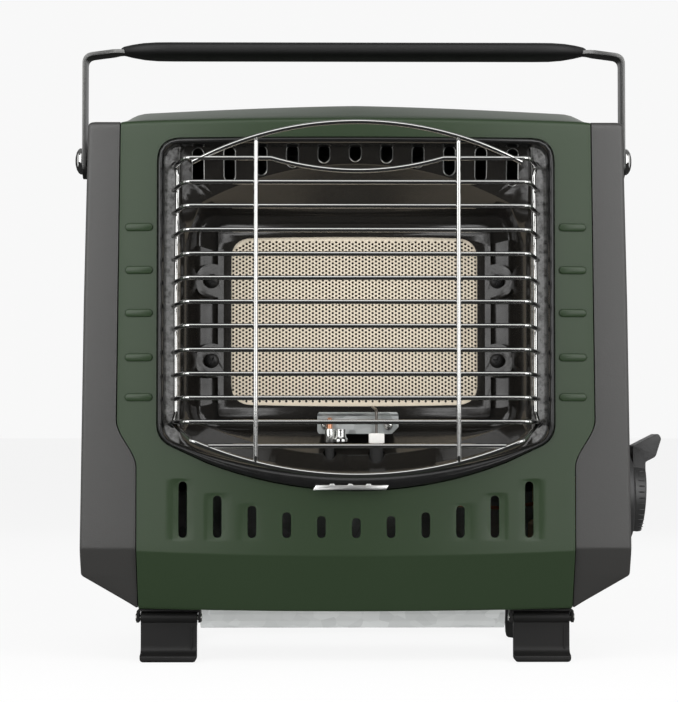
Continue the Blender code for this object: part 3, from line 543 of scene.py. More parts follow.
panel_edge = [(118.5 - GAP, 300.0)] + cover_seam(GAP) + [(110.0 - GAP, 10.0)]
panel_edge += [(-x, z) for x, z in reversed(panel_edge)]
combine(front_shell, prism("shell_edge", [panel_edge], "Y", -30, 220), "INTERSECT")
front_cuts = [window_outline(GAP)]
for k in range(-5, 6):
    x = VENT_PITCH * k
    reach = VENT_TOPS[abs(k)] - VENT_WIDTH / 2
    front_cuts.append(stadium((x, VENT_FOOT + VENT_WIDTH / 2), (x, reach), VENT_WIDTH))
combine(front_shell, prism("front_cuts", front_cuts, "Y", -30, 12), "DIFFERENCE")
top_vents = [stadium((20.0 * k, 62), (20.0 * k, 150), 5.0) for k in range(-4, 5)]
combine(front_shell, prism("top_vents", top_vents, "Z", 262, 300), "DIFFERENCE")
GREEN = green_powder_coat()
dress(front_shell, GREEN, 38)
hand_over(front_shell, "casing", "green_enamel", "front_shell")


# ---------------------------------------------------------------- ribs on the front
# Five low lozenges pressed out of the panel on each side of the window, in the same paint.
# They are set on their places by nodes, and sink a little into the panel behind them.


def node_tree(name, inputs):
    """A geometry tree with named inputs after its geometry."""
    tree = bpy.data.node_groups.new(name, "GeometryNodeTree")
    tree.interface.new_socket("Geometry", in_out="INPUT", socket_type="NodeSocketGeometry")
    for label, kind in inputs:
        tree.interface.new_socket(label, in_out="INPUT", socket_type=kind)
    tree.interface.new_socket("Geometry", in_out="OUTPUT", socket_type="NodeSocketGeometry")
    return tree, tree.nodes.new("NodeGroupInput"), tree.nodes.new("NodeGroupOutput")


def run_tree(piece, tree, values):
    """Put a tree on an object with its inputs set, and keep the plain mesh that comes out."""
    modifier = piece.modifiers.new("nodes", "NODES")
    modifier.node_group = tree
    for item in tree.interface.items_tree:
        if item.item_type == "SOCKET" and item.in_out == "INPUT" and item.name in values:
            modifier[item.identifier] = values[item.name]
    return plain_mesh(piece)


def copies_tree():
    """One pattern set on every point, turned by the point's own angles."""
    tree, given, result = node_tree(
        "set_on_points", [("Pattern", "NodeSocketObject"), ("Finish", "NodeSocketMaterial")]
    )
    flow = Tone(tree)
    source = {"Object": Tone(tree, given.outputs["Pattern"])}
    pattern = flow.node("GeometryNodeObjectInfo", sockets=source, out="Geometry")
    turn = flow.node("GeometryNodeInputNamedAttribute", {"data_type": "FLOAT_VECTOR"}, {"Name": "turn"})
    sockets = {"Points": Tone(tree, given.outputs["Geometry"]), "Instance": pattern, "Rotation": turn}
    copies = flow.node("GeometryNodeInstanceOnPoints", sockets=sockets)
    real = flow.node("GeometryNodeRealizeInstances", sockets={"Geometry": copies})
    sockets = {"Geometry": real, "Material": Tone(tree, given.outputs["Finish"])}
    painted = flow.node("GeometryNodeSetMaterial", sockets=sockets)
    tree.links.new(painted.socket, result.inputs["Geometry"])
    return tree


COPIES = copies_tree()


def set_out(name, pattern, places, material, angle=35):
    """Copies of a pattern, made round the origin in metres, at places with their turns."""
    mesh = bpy.data.meshes.new(name)
    mesh.from_pydata([at(*place) for place, turn in places], [], [])
    turns = mesh.attributes.new("turn", "FLOAT_VECTOR", "POINT")
    for item, (place, turn) in zip(turns.data, places):
        item.vector = turn
    piece = bpy.data.objects.new(name, mesh)
    COLLECTION.objects.link(piece)
    run_tree(piece, COPIES, {"Pattern": pattern, "Finish": material})
    bpy.data.objects.remove(pattern)
    return dress(piece, material, angle)


def pattern_object(name, work):
    """A pattern made round the origin, from millimetres."""
    mesh = bpy.data.meshes.new(name)
    work.to_mesh(mesh)
    work.free()
    mesh.transform(Matrix.Scale(MM, 4))
    pattern = bpy.data.objects.new(name, mesh)
    COLLECTION.objects.link(pattern)
    return pattern


rib_work = bmesh.new()
rib_layers = []
for inset, y in ((0.0, 1.4), (0.0, -0.35), (0.25, -0.8), (0.75, -1.05)):
    loop = stadium((-5.1, 0), (5.1, 0), 4.0 - 2 * inset, 8)
    rib_layers.append([rib_work.verts.new((u, y, v)) for u, v in loop])
join_rings(rib_work, rib_layers)
rib_work.faces.new(rib_layers[-1])
rib_work.faces.new(rib_layers[0][::-1])
bmesh.ops.recalc_face_normals(rib_work, faces=rib_work.faces)
rib_places = []
for z in RIB_ROWS:
    for side in (-1, 1):
        x = side * 108.5
        lean = atan2(16.0 * x / PANEL_HALF**2, 1.0)
        rib_places.append(((x, crown(x), z), (0.0, 0.0, lean)))
ribs = set_out("panel_ribs", pattern_object("rib", rib_work), rib_places, GREEN)
hand_over(ribs, "casing", "green_enamel")


# ---------------------------------------------------------------- side covers
# Two deep covers moulded in grained black plastic, open on their inner side. Each is
# held to the casing behind its edge, and carries a bolt for the handle.


def reach_at(path, z):
    """The value of a line of (value, Z) points at one height."""
    path = sorted(path, key=lambda p: p[1])
    for (a, low), (b, high) in zip(path, path[1:]):
        if low <= z <= high:
            return a if high == low else a + (b - a) * (z - low) / (high - low)
    return path[0][0] if z < path[0][1] else path[-1][0]


def grained_plastic(name, dark, light, roughness, specular=0.5):
    material, inputs, tone = new_finish(name)
    grain = noise(tone, 1500.0, 2.0)
    cloud = noise(tone, 20.0, 2.0)
    feed(
        inputs,
        Base_Color=cloud.mix(colour(*dark), colour(*light)),
        Roughness=roughness + 0.14 * grain,
        Specular_IOR_Level=specular,
        Normal=relief(tone, grain, 0.5, 0.06),
    )
    return material


COVER_PLASTIC = grained_plastic(
    "cover_plastic", (0.020, 0.0195, 0.018), (0.024, 0.023, 0.0215), 0.44, specular=0.85
)
cover_front = fillet([(14, 27.5), (0, 58), (0, 272), (40, 272)], [3, 4, 4, 0], 6, closed=False)
cover_front = [p for p in cover_front if p[0] <= 14.0]
cover_back = fillet([(150, 27.5), (187.5, 27.5), (187.5, 272), (150, 272)], [0, 9, 9, 0], 8, closed=False)
cover_back = [p for p in cover_back if p[0] > 178.0]
cover_out = fillet(
    [(110.5, 27.5), (137.9, 44.2), (138.0, 54.0), (136.4, 180.0), (134.5, 272.0), (110.0, 272.0)],
    [0, 2.5, 0, 0, 3.0, 0], 6, closed=False,
)[:-1]
cover_levels = sorted({round(p[1], 3) for p in cover_front + cover_back + cover_out + cover_seam()})
cover_levels = row_of([z for z in cover_levels if 27.5 < z < 272.0], 12.0, 27.5, 272.0)


def side_cover(name, side):
    work = bmesh.new()
    levels = []
    for z in cover_levels:
        inner = reach_at(cover_seam() + [(110.0, 27.5)], z)
        outer = max(reach_at(cover_out, z), inner + 0.3)
        front, back = reach_at(cover_front, z), reach_at(cover_back, z)
        corner = min(2.2, 0.45 * (outer - inner))
        loop = [(inner, front)]
        loop += arc((outer - corner, front + corner), corner, -pi / 2, 0, 5)
        loop += arc((outer - corner, back - corner), corner, 0, pi / 2, 5)
        loop += [(inner, back)]
        levels.append([work.verts.new((side * x, y, z)) for x, y in loop])
    for low, high in zip(levels, levels[1:]):
        for k in range(len(low) - 1):
            work.faces.new((low[k], low[k + 1], high[k + 1], high[k]))
    work.faces.new(levels[0][::-1])
    work.faces.new(levels[-1])
    bmesh.ops.recalc_face_normals(work, faces=work.faces)
    face_towards(work, (side, 0, 0))
    cover = thicken(piece_from(name + "_shell", work), 2.2, -1.0)
    ends = sorted((side * 120.0, side * 150.0))
    holes = [(ring((60.0, 259.0), 3.2, 24), "bolt_hole")]
    if side > 0:
        holes.append((ring((70.0, 81.5), 6.0, 32), "stem_hole"))
    for hole, label in holes:
        combine(cover, prism(label, [hole], "X", *ends), "DIFFERENCE")
    dress(cover, COVER_PLASTIC, 25)
    hand_over(cover, "casing", "black_plastic", name)


side_cover("left_side_cover", -1)
side_cover("right_side_cover", 1)


# ---------------------------------------------------------------- window bezel
# A black moulded trim with a rounded lip, pressed over the edge of the window. It is
# narrow at the sides and deep along the bottom, where a small bright strip is fixed.


def rays_across(loop, centre, turns):
    """A loop sampled where rays from a centre cross it."""
    centre = Vector(centre)
    found = []
    for turn in turns:
        heading = Vector((cos(turn), sin(turn)))
        for i, first in enumerate(loop):
            a, b = Vector(first) - centre, Vector(loop[(i + 1) % len(loop)]) - centre
            across = (b - a).cross(heading)
            if abs(across) < 1e-9:
                continue
            share = -a.cross(heading) / across
            hit = a + (b - a) * share
            if 0 <= share < 1 and hit.dot(heading) > 0:
                found.append(centre + hit)
                break
    return found


def glossy_trim():
    material, inputs, tone = new_finish("glossy_trim")
    ripple = noise(tone, 160.0, 2.0)
    feed(
        inputs,
        Base_Color=ripple.mix(colour(0.005, 0.005, 0.005), colour(0.008, 0.008, 0.008)),
        Roughness=0.14 + 0.08 * ripple,
        Normal=relief(tone, ripple, 0.12, 0.1),
        Coat_Roughness=0.15,
    )
    return material


PLAQUE_Z = 173.5
WINDOW_CENTRE = (0.0, PLAQUE_Z)
bezel_turns = [2 * pi * k / 240 + 0.003 for k in range(240)]
bezel_outer = rays_across(window_outline(), WINDOW_CENTRE, bezel_turns)
bezel_inner = rays_across(dome_outline(96.0, 259.8, 95.0, 265.0, 10.0), WINDOW_CENTRE, bezel_turns)
bezel_section = [(0.0, 5.6), (0.0, -1.4), (0.06, -2.2), (0.2, -2.8), (0.4, -3.0)]
bezel_section += [(0.6, -2.75), (0.8, -1.9), (0.93, -0.8), (1.0, 0.6), (1.0, 5.6)]
bezel_work = bmesh.new()
bezel_rows = []
for share, y in bezel_section:
    row = []
    for outer, inner in zip(bezel_outer, bezel_inner):
        p = outer.lerp(inner, share)
        lift = crown(p.x) if y < 1.0 else 0.0
        row.append(bezel_work.verts.new((p.x, y + lift, p.y)))
    bezel_rows.append(row)
join_rings(bezel_work, bezel_rows + bezel_rows[:1])
bmesh.ops.recalc_face_normals(bezel_work, faces=bezel_work.faces)
bezel = dress(piece_from("window_trim", bezel_work), glossy_trim(), 50)
hand_over(bezel, "casing", "black_trim", "window_bezel")


def polished(name, tint, roughness, waviness=0.0):
    """A bright metal with faint rubbing marks, and a waver where the sheet is drawn."""
    material, inputs, tone = new_finish(name)
    rub = noise(tone, 90.0, 3.0, (1.0, 1.0, 6.0))
    smear = noise(tone, 9.0, 2.0)
    height = rub + smear * waviness if waviness else rub
    feed(
        inputs,
        Base_Color=smear.mix(colour(*[0.94 * c for c in tint]), colour(*tint)),
        Metallic=1.0,
        Roughness=roughness + 0.06 * rub,
        Normal=relief(tone, height, 0.10, 0.05 if not waviness else 0.25),
    )
    return material


BRIGHT_STEEL = polished("polished_steel", (0.80, 0.80, 0.79), 0.28)
tab_outline = [(-21.6, 87.4), (14.6, 87.4), (16.0, 89.8), (10.4, 89.8)]
for x in (6.0, -3.0, -12.0):
    tab_outline += [(x + 1.4, 89.8), (x + 0.9, 90.5), (x - 0.9, 90.5), (x - 1.4, 89.8)]
tab_outline += [(-20.0, 89.8)]
tab = round_edges(prism("tab_strip", [tab_outline], "Y", -12.9, -11.3), 0.25)
dress(tab, BRIGHT_STEEL)
hand_over(tab, "casing", "bright_steel", "bezel_tab")


# ---------------------------------------------------------------- reflector
# A pan drawn from thin steel and fired with black enamel: a flat flange, a sloping band with vent
# slots and a deep bowl behind it. The guard hooks into four holes in its flange.

reflector_turns = [2 * pi * k / 216 + 0.002 for k in range(216)]
ARCH_CENTRE = 88.0
ARCH_RADIUS = 165.0
BURNER_SCREWS = [(side * 74.0, z) for side in (-1, 1) for z in (194.5, 153.0)]
HOOK_HOLES = [(side * x, z) for side in (-1, 1) for x, z in ((91.0, 250.5), (91.7, 120.0))]
SPARK_AT = (10.8, 20.6)
PROBE_AT = (-13.0, 21.0)
arch_top = arc((0, ARCH_CENTRE), ARCH_RADIUS, pi / 2 - 0.5, pi / 2 + 0.5, 40)
arch_low = [(x, 304.0 - sqrt(200.0**2 - x * x)) for x in range(-72, 73, 6)]
arch = arch_top + [(-87.0, 215.0), (-87.0, 122.0)] + arch_low + [(87.0, 122.0), (87.0, 215.0)]
arch = fillet(arch, [0] * 41 + [4, 8] + [0] * 25 + [8, 4], 4)
pan_rings = [
    (6.0, dome_outline(101.0, 270.0, 84.0, 215.0, 14.0)),
    (6.0, dome_outline(90.2, 266.8, 91.5, 232.0, 14.0)),
    (6.6, dome_outline(88.9, 266.1, 93.0, 240.0, 14.0)),
    (8.0, dome_outline(88.3, 265.8, 94.0, 240.0, 14.0)),
    (14.0, dome_outline(87.8, 265.5, 97.0, 240.0, 14.0)),
    (19.4, arch),
    (20.4, [(0.993 * x, PLAQUE_Z + 0.993 * (z - PLAQUE_Z)) for x, z in arch]),
    (44.6, rectangle(-81.9, 118.1, 81.9, 229.4, 12.0)),
    (45.6, rectangle(-81.0, 119.0, 81.0, 228.5, 12.0)),
    (46.0, rectangle(-79.6, 120.4, 79.6, 227.1, 12.0)),
    (46.0, rectangle(-68.0, 125.5, 68.0, 221.5, 9.0)),
]
pan_work = bmesh.new()
pan_rows = []
for y, loop in pan_rings:
    points = rays_across(loop, WINDOW_CENTRE, reflector_turns)
    pan_rows.append([pan_work.verts.new((p.x, y, p.y)) for p in points])
for outer, inner in zip(pan_rows, pan_rows[1:]):
    for k in range(len(outer)):
        n = (k + 1) % len(outer)
        pan_work.faces.new((outer[k], inner[k], inner[n], outer[n]))
bmesh.ops.triangulate(pan_work, faces=pan_work.faces)
face_towards(pan_work, (0, -1, 0))
pan = thicken(piece_from("reflector_pan", pan_work), 0.8, -1.0)
pan_slots = []
for k in range(-5, 6):
    x = 16.0 * k
    edge = ARCH_CENTRE + sqrt(ARCH_RADIUS**2 - x * x)
    raised = 8.0 * (max(abs(k) - 3, 0) / 2) ** 1.7
    pan_slots.append(stadium((x, edge + 4.2 + raised), (x, 259.4 - 0.09 * k * k), 5.6))
pan_cuts = [
    ("pan_slots", pan_slots, "Y", 9, 30),
    ("pan_hook_holes", [ring(hole, 1.9, 20) for hole in HOOK_HOLES], "Y", 0, 12),
    ("pan_screw_holes", [ring(hole, 2.4, 20) for hole in BURNER_SCREWS], "Y", 40, 50),
    ("pan_lead_holes", [ring(SPARK_AT, 4.2, 24), ring(PROBE_AT, 3.4, 24)], "Z", 90, 114),
]
for pan_cut in pan_cuts:
    combine(pan, prism(*pan_cut), "DIFFERENCE")


def enamel():
    """Fired black enamel: glossy, with an uneven skin and fine pits, and a speckled grey painted reflection
    on the outer edge of the flange.
    """
    material, inputs, tone = new_finish("black_enamel")
    skin = noise(tone, 26.0, 2.0)
    pits = noise(tone, 420.0, 3.0)
    place = tone.node("ShaderNodeTexCoord", out=3)
    across = tone.node("ShaderNodeSeparateXYZ", sockets={0: place})
    back = Tone(tone.tree, across.socket.node.outputs[1])
    up = Tone(tone.tree, across.socket.node.outputs[2])
    out = (across - MID_X).by("ABSOLUTE") / MM
    deep = back > FRONT_Y + 0.040
    shallow = (back - (FRONT_Y + 0.0072)).by("LESS_THAN", 0.0)
    ragged = (up / MM - 172.0).by("ABSOLUTE") + 16.0 * skin
    patch = deep * ragged.by("LESS_THAN", 50.0)
    dished = 0.42 * (out - 68.0).by("MAXIMUM", 0.0) * patch
    # Painted reflection: a speckled grey sheen on the flat flange more than 88.5 mm out from the middle,
    # standing for a soft box seen in the enamel.
    flange_sheen = shallow * (out > 88.5) * (2.6 * pits - 0.75).by("MINIMUM", 0.8).by("MAXIMUM", 0.0)
    sheen_grey = colour(0.17, 0.17, 0.165)
    rolled = 0.42 * out.by("MAXIMUM", 89.0) * shallow
    feed(
        inputs,
        Base_Color=flange_sheen.mix(skin.mix(colour(0.010, 0.009, 0.008), colour(0.016, 0.015, 0.013)), sheen_grey),
        Roughness=0.07 + 0.14 * pits,
        Normal=relief(tone, 0.10 * skin + 0.012 * pits + dished + rolled, 1.0, 1.0),
    )
    return material


BLACK_ENAMEL = enamel()
dress(pan, BLACK_ENAMEL, 28)
hand_over(pan, "casing", "black_enamel", "reflector")


# ---------------------------------------------------------------- burner
# A black steel plate clamps the ceramic plaque to the back of the reflector with four screws,
# each in a round lobe. The plaque is pressed from cream ceramic with a dense field of holes.


def black_paint(name, roughness, grain_depth=0.05, specular=0.5):
    material, inputs, tone = new_finish(name)
    grain = noise(tone, 700.0, 2.0)
    dust = noise(tone, 30.0, 3.0)
    feed(
        inputs,
        Base_Color=dust.mix(colour(0.006, 0.006, 0.006), colour(0.011, 0.0105, 0.010)),
        Roughness=roughness + 0.12 * dust,
        Specular_IOR_Level=specular,
        Normal=relief(tone, grain, 0.3, grain_depth),
    )
    return material


BLACK_STEEL = black_paint("black_steel_paint", 0.42)
lobe_side = []
for z in (153.0, 194.5):
    lobe_side += arc((74.0, z), 9.0, -1.91, 1.91, 20)
corner = fillet([(71.0, 214.0), (71.0, 224.5), (60.0, 224.5)], [0, 9, 0], 6, closed=False)
frame_right = [(x, 2 * PLAQUE_Z - z) for x, z in reversed(corner)] + lobe_side + corner
frame_outline = frame_right + [(-x, z) for x, z in reversed(frame_right)]


def bowed_tile(half, height, corner, bow):
    """Half of a tile's outline, below its middle: a round corner, a bowed edge and a round corner."""
    low = [(x, -height - bow * (1 - (x / half) ** 2)) for x in range(-40, 41, 8)]
    loop = [(-half, 0.0), (-half, -height)] + low + [(half, -height), (half, 0.0)]
    return fillet(loop, [0, corner] + [0] * len(low) + [corner, 0], 8, closed=False)


opening_low = bowed_tile(64.0, 43.2, 11.0, 0.9)
opening = [(x, PLAQUE_Z + z) for x, z in opening_low] + [(-x, PLAQUE_Z - z) for x, z in opening_low]
screw_holes = [ring(hole, 2.2, 20) for hole in BURNER_SCREWS]
burner_plate = prism("burner_plate", [frame_outline, opening] + screw_holes, "Y", 43.4, 44.6)
round_edges(burner_plate, 0.3, 2)
dress(burner_plate, BLACK_ENAMEL)
hand_over(burner_plate, "casing", "black_steel", "burner_frame")


def pan_head(radius, dome, shank, length):
    """A screw along Y with its head towards the front and a cross recess in it."""
    work = bmesh.new()
    profile = [(0.0, -dome), (radius * 0.45, -dome * 0.95), (radius * 0.8, -dome * 0.7)]
    profile += [(radius * 0.97, -dome * 0.3), (radius, 0.0), (shank, 0.0)]
    profile += [(shank, length), (0.0, length)]
    angles = [2 * pi * k / 20 for k in range(20)]
    rows = []
    for r, y in profile:
        if r == 0.0:
            rows.append([work.verts.new((0, y, 0))])
        else:
            rows.append([work.verts.new((r * cos(a), y, r * sin(a))) for a in angles])
    join_rings(work, rows)
    bmesh.ops.recalc_face_normals(work, faces=work.faces)
    head = pattern_object("pan_head", work)
    for turn in (0.0, pi / 2):
        bar = bmesh.new()
        bmesh.ops.create_cube(bar, size=1.0)
        size = Matrix.Diagonal((radius * 1.15, dome * 0.9, radius * 0.24, 1.0))
        move = Matrix.Translation((0, -dome * 0.85, 0))
        bmesh.ops.transform(bar, matrix=Matrix.Rotation(turn, 4, "Y") @ move @ size, verts=bar.verts)
        combine(head, pattern_object("cross", bar), "DIFFERENCE")
    return head


screw_places = [((x, 43.1, z), (0.0, 0.4 + x / 50, 0.0)) for x, z in BURNER_SCREWS]
burner_screws = set_out("burner_screws", pan_head(3.7, 2.4, 1.9, 8.0), screw_places, BLACK_STEEL)
hand_over(burner_screws, "casing", "black_steel", *[f"burner_screw_{n}" for n in (1, 2, 3, 4)])


def plaque_tree():
    """A slab filled strip by strip round staggered columns of holes, then given its depth."""
    labels = ["Width", "Height", "Corner", "Column pitch", "Row pitch", "Hole", "Depth"]
    inputs = [(label, "NodeSocketFloat") for label in labels] + [("Finish", "NodeSocketMaterial")]
    tree, given, result = node_tree("pierced_plaque", inputs)
    flow = Tone(tree)
    sizes = [Tone(tree, given.outputs[label]) for label in labels]
    width, height, corner, across, along, hole, depth = sizes
    columns = (width / across).by("FLOOR")
    rows = (height / along).by("FLOOR")
    sockets = {
        "Size X": (columns - 1.0) * across,
        "Size Y": (rows - 1.0) * along,
        "Vertices X": columns,
        "Vertices Y": rows,
    }
    lattice = flow.node("GeometryNodeMeshGrid", sockets=sockets)
    split = flow.node("ShaderNodeSeparateXYZ", sockets={0: flow.node("GeometryNodeInputPosition")})
    x = split
    y = Tone(tree, split.socket.node.outputs[1])
    column = ((x + (columns - 1.0) * across * 0.5) / across + 0.25).by("FLOOR")
    stored = {"Geometry": lattice, "Name": "strip", "Value": column}
    lattice = flow.node("GeometryNodeStoreNamedAttribute", {"data_type": "INT", "domain": "POINT"}, stored)
    odd = column.by("MODULO", 2.0)
    shift = flow.node("ShaderNodeCombineXYZ", sockets={1: (odd - 0.5) * along * 0.5})
    moved = flow.node("GeometryNodeSetPosition", sockets={"Geometry": lattice, "Offset": shift})
    out_x = x.by("ABSOLUTE") - (width * 0.5 - corner)
    out_y = y.by("ABSOLUTE") - (height * 0.5 - corner)
    over_x = out_x.by("MAXIMUM", 0.0)
    over_y = out_y.by("MAXIMUM", 0.0)
    beyond = (over_x * over_x + over_y * over_y).by("SQRT")
    inner = out_x.by("MAXIMUM", out_y).by("MINIMUM", 0.0)
    outside = (beyond + inner - corner + hole * 1.5) > 0.0
    sockets = {"Geometry": moved, "Selection": outside}
    kept = flow.node("GeometryNodeDeleteGeometry", {"domain": "POINT"}, sockets)
    circle = flow.node("GeometryNodeCurvePrimitiveCircle", sockets={"Resolution": 8, "Radius": hole * 0.5})
    dots = flow.node("GeometryNodeInstanceOnPoints", sockets={"Points": kept, "Instance": circle})
    dots = flow.node("GeometryNodeRealizeInstances", sockets={"Geometry": dots})
    joined = tree.nodes.new("GeometryNodeJoinGeometry")
    tree.links.new(dots.socket, joined.inputs[0])
    rims = flow.node("GeometryNodeMeshToCurve", sockets={"Mesh": Tone(tree, given.outputs["Geometry"])})
    tree.links.new(rims.socket, joined.inputs[0])
    strip = flow.node("GeometryNodeInputNamedAttribute", {"data_type": "INT"}, {"Name": "strip"})
    sockets = {"Curve": Tone(tree, joined.outputs[0]), "Group ID": strip}
    face = flow.node("GeometryNodeFillCurve", {"mode": "TRIANGLES"}, sockets)
    face = flow.node("GeometryNodeRealizeInstances", sockets={"Geometry": face})
    face = flow.node("GeometryNodeMergeByDistance", sockets={"Geometry": face, "Distance": 0.000004})
    sockets = {"Mesh": face, "Offset Scale": depth, "Individual": False}
    slab = flow.node("GeometryNodeExtrudeMesh", {"mode": "FACES"}, sockets)
    real = flow.node("GeometryNodeRealizeInstances", sockets={"Geometry": slab})
    sockets = {"Geometry": real, "Material": Tone(tree, given.outputs["Finish"])}
    painted = flow.node("GeometryNodeSetMaterial", sockets=sockets)
    tree.links.new(painted.socket, result.inputs["Geometry"])
    return tree


def ceramic(name, dark, light, roughness):
    material, inputs, tone = new_finish(name)
    speck = noise(tone, 900.0, 3.0)
    cloud = noise(tone, 45.0, 2.0)
    feed(
        inputs,
        Base_Color=(0.6 * cloud + 0.4 * speck).mix(colour(*dark), colour(*light)),
        Roughness=roughness + 0.08 * speck,
        Normal=relief(tone, speck, 0.4, 0.08),
    )
    return material


PLAQUE_WIDTH = 132.0
PLAQUE_HEIGHT = 92.0
COLUMN_PITCH = 1.73
CREAM_CERAMIC = ceramic("pierced_ceramic", (0.66, 0.58, 0.45), (0.73, 0.65, 0.53), 0.82)
tile_half = PLAQUE_WIDTH / 2
tile_low = bowed_tile(tile_half, PLAQUE_HEIGHT / 2, 12.0, 1.2)
tile_columns = int(PLAQUE_WIDTH / COLUMN_PITCH)
cuts = [COLUMN_PITCH * (k - tile_columns / 2) for k in range(1, tile_columns)]
cuts = [-tile_half + 0.05] + cuts + [tile_half - 0.05]
tile_verts, tile_edges, tile_strips = [], [], []
for k, (left, right) in enumerate(zip(cuts, cuts[1:])):
    low_left, low_right = [reach_at([(z, x) for x, z in tile_low[1:-1]], x) for x in (left, right)]
    first = len(tile_verts)
    tile_verts += [(left, low_left), (right, low_right), (right, -low_right), (left, -low_left)]
    tile_edges += [(first + n, first + (n + 1) % 4) for n in range(4)]
    tile_strips += [k] * 4
tile_mesh = bpy.data.meshes.new("ceramic_tile")
tile_mesh.from_pydata([(u * MM, v * MM, 0.0) for u, v in tile_verts], tile_edges, [])
strip_numbers = tile_mesh.attributes.new("strip", "INT", "POINT")
strip_numbers.data.foreach_set("value", tile_strips)
tile = bpy.data.objects.new("ceramic_tile", tile_mesh)
COLLECTION.objects.link(tile)
tile_sizes = {
    "Width": PLAQUE_WIDTH * MM,
    "Height": (PLAQUE_HEIGHT - 4.0) * MM,
    "Corner": 12.0 * MM,
    "Column pitch": COLUMN_PITCH * MM,
    "Row pitch": 2.0 * MM,
    "Hole": 1.36 * MM,
    "Depth": 3.0 * MM,
    "Finish": CREAM_CERAMIC,
}
tile = run_tree(tile, plaque_tree(), tile_sizes)
tile_work = bmesh.new()
tile_work.from_mesh(tile.data)
bmesh.ops.recalc_face_normals(tile_work, faces=tile_work.faces)
bmesh.ops.transform(tile_work, matrix=Matrix.Rotation(pi / 2, 4, "X"), verts=tile_work.verts)
tile_front = min(v.co.y for v in tile_work.verts)
shift = at(0.0, 45.0, PLAQUE_Z) - Vector((0.0, tile_front, 0.0))
bmesh.ops.translate(tile_work, vec=shift, verts=tile_work.verts)
tile_work.to_mesh(tile.data)
tile_work.free()
dress(tile, CREAM_CERAMIC, 30)
hand_over(tile, "casing", "burner_ceramic")
# Painted shade: a near-black block behind the thin pierced slab, seen through the holes as the shade deep
# inside them.
tile_back = prism("tile_back", [rectangle(-66.0, 127.5, 66.0, 219.5, 11.0)], "Y", 48.2, 58.0)
HOLE_SHADE_AND_GASKET = ceramic("sooted_ceramic", (0.020, 0.017, 0.014), (0.040, 0.034, 0.028), 0.90)
dress(tile_back, HOLE_SHADE_AND_GASKET)
hand_over(tile_back, "casing", "burner_ceramic", "ceramic_plaque")


# ---------------------------------------------------------------- wire guard
# Straight rods, two bars and two arched rods of chromed wire, welded where they cross and hung
# from two side rods that hook into the reflector's flange.


def wires_tree():
    """Wires along the edges of a mesh, each as thick as its points say, with its bends rounded."""
    inputs = [("Bend", "NodeSocketFloat"), ("Sides", "NodeSocketInt"), ("Finish", "NodeSocketMaterial")]
    tree, given, result = node_tree("wires_on_paths", inputs)
    flow = Tone(tree)
    paths = flow.node("GeometryNodeMeshToCurve", sockets={"Mesh": Tone(tree, given.outputs["Geometry"])})
    sockets = {"Curve": paths, "Count": 6, "Radius": Tone(tree, given.outputs["Bend"]), "Limit Radius": True}
    bent = flow.node("GeometryNodeFilletCurve", {"mode": "POLY"}, sockets)
    gauge = flow.node("GeometryNodeInputNamedAttribute", {"data_type": "FLOAT"}, {"Name": "gauge"})
    sockets = {"Resolution": Tone(tree, given.outputs["Sides"]), "Radius": 0.5}
    profile = flow.node("GeometryNodeCurvePrimitiveCircle", sockets=sockets)
    sockets = {"Curve": bent, "Profile Curve": profile, "Scale": gauge, "Fill Caps": True}
    wire = flow.node("GeometryNodeCurveToMesh", sockets=sockets)
    real = flow.node("GeometryNodeRealizeInstances", sockets={"Geometry": wire})
    sockets = {"Geometry": real, "Material": Tone(tree, given.outputs["Finish"])}
    painted = flow.node("GeometryNodeSetMaterial", sockets=sockets)
    tree.links.new(painted.socket, result.inputs["Geometry"])
    return tree


WIRES = wires_tree()


def wire_piece(name, paths, bend, material, sides=12):
    """Wires along paths of places, each path with its own diameter."""
    verts, edges, gauges = [], [], []
    for path, diameter in paths:
        first = len(verts)
        verts += [at(*place) for place in path]
        edges += [(first + k, first + k + 1) for k in range(len(path) - 1)]
        gauges += [diameter * MM] * len(path)
    mesh = bpy.data.meshes.new(name)
    mesh.from_pydata(verts, edges, [])
    mesh.attributes.new("gauge", "FLOAT", "POINT").data.foreach_set("value", gauges)
    piece = bpy.data.objects.new(name, mesh)
    COLLECTION.objects.link(piece)
    run_tree(piece, WIRES, {"Bend": bend * MM, "Sides": sides, "Finish": material})
    work = bmesh.new()
    work.from_mesh(piece.data)
    bmesh.ops.remove_doubles(work, verts=work.verts, dist=1e-6)
    bmesh.ops.recalc_face_normals(work, faces=work.faces)
    work.to_mesh(piece.data)
    work.free()
    return dress(piece, material, 50)


GUARD_Y = -36.0
BAR_X = 49.1
BAR_Y = -37.8
GUARD_TOP = 249.0
GUARD_PITCH = 11.64
guard_wires = []
for row in range(12):
    z = GUARD_TOP - GUARD_PITCH * row
    path = [(-91.5, 2.0, z), (-83.4, GUARD_Y, z)]
    if row == 0:
        path += [(x, GUARD_Y, z - 6.1 * (1 - (x / 42) ** 2)) for x in range(-42, 43, 4)]
    path += [(83.4, GUARD_Y, z), (91.5, 2.0, z)]
    guard_wires.append((path, 2.3))
last_z = GUARD_TOP - GUARD_PITCH * 12
guard_wires.append(([(-72, GUARD_Y, last_z), (72, GUARD_Y, last_z)], 2.3))
guard_wires.append(([(x, GUARD_Y, 95.8 + sqrt(171.0**2 - x * x)) for x in range(-80, 81, 4)], 2.3))
low_arch = [(x, GUARD_Y, 297.2 - sqrt(202.0**2 - x * x)) for x in range(-80, 81, 4)]
guard_wires.append(([(-91.5, 1.0, 120.4)] + low_arch + [(91.5, 1.0, 120.4)], 2.3))
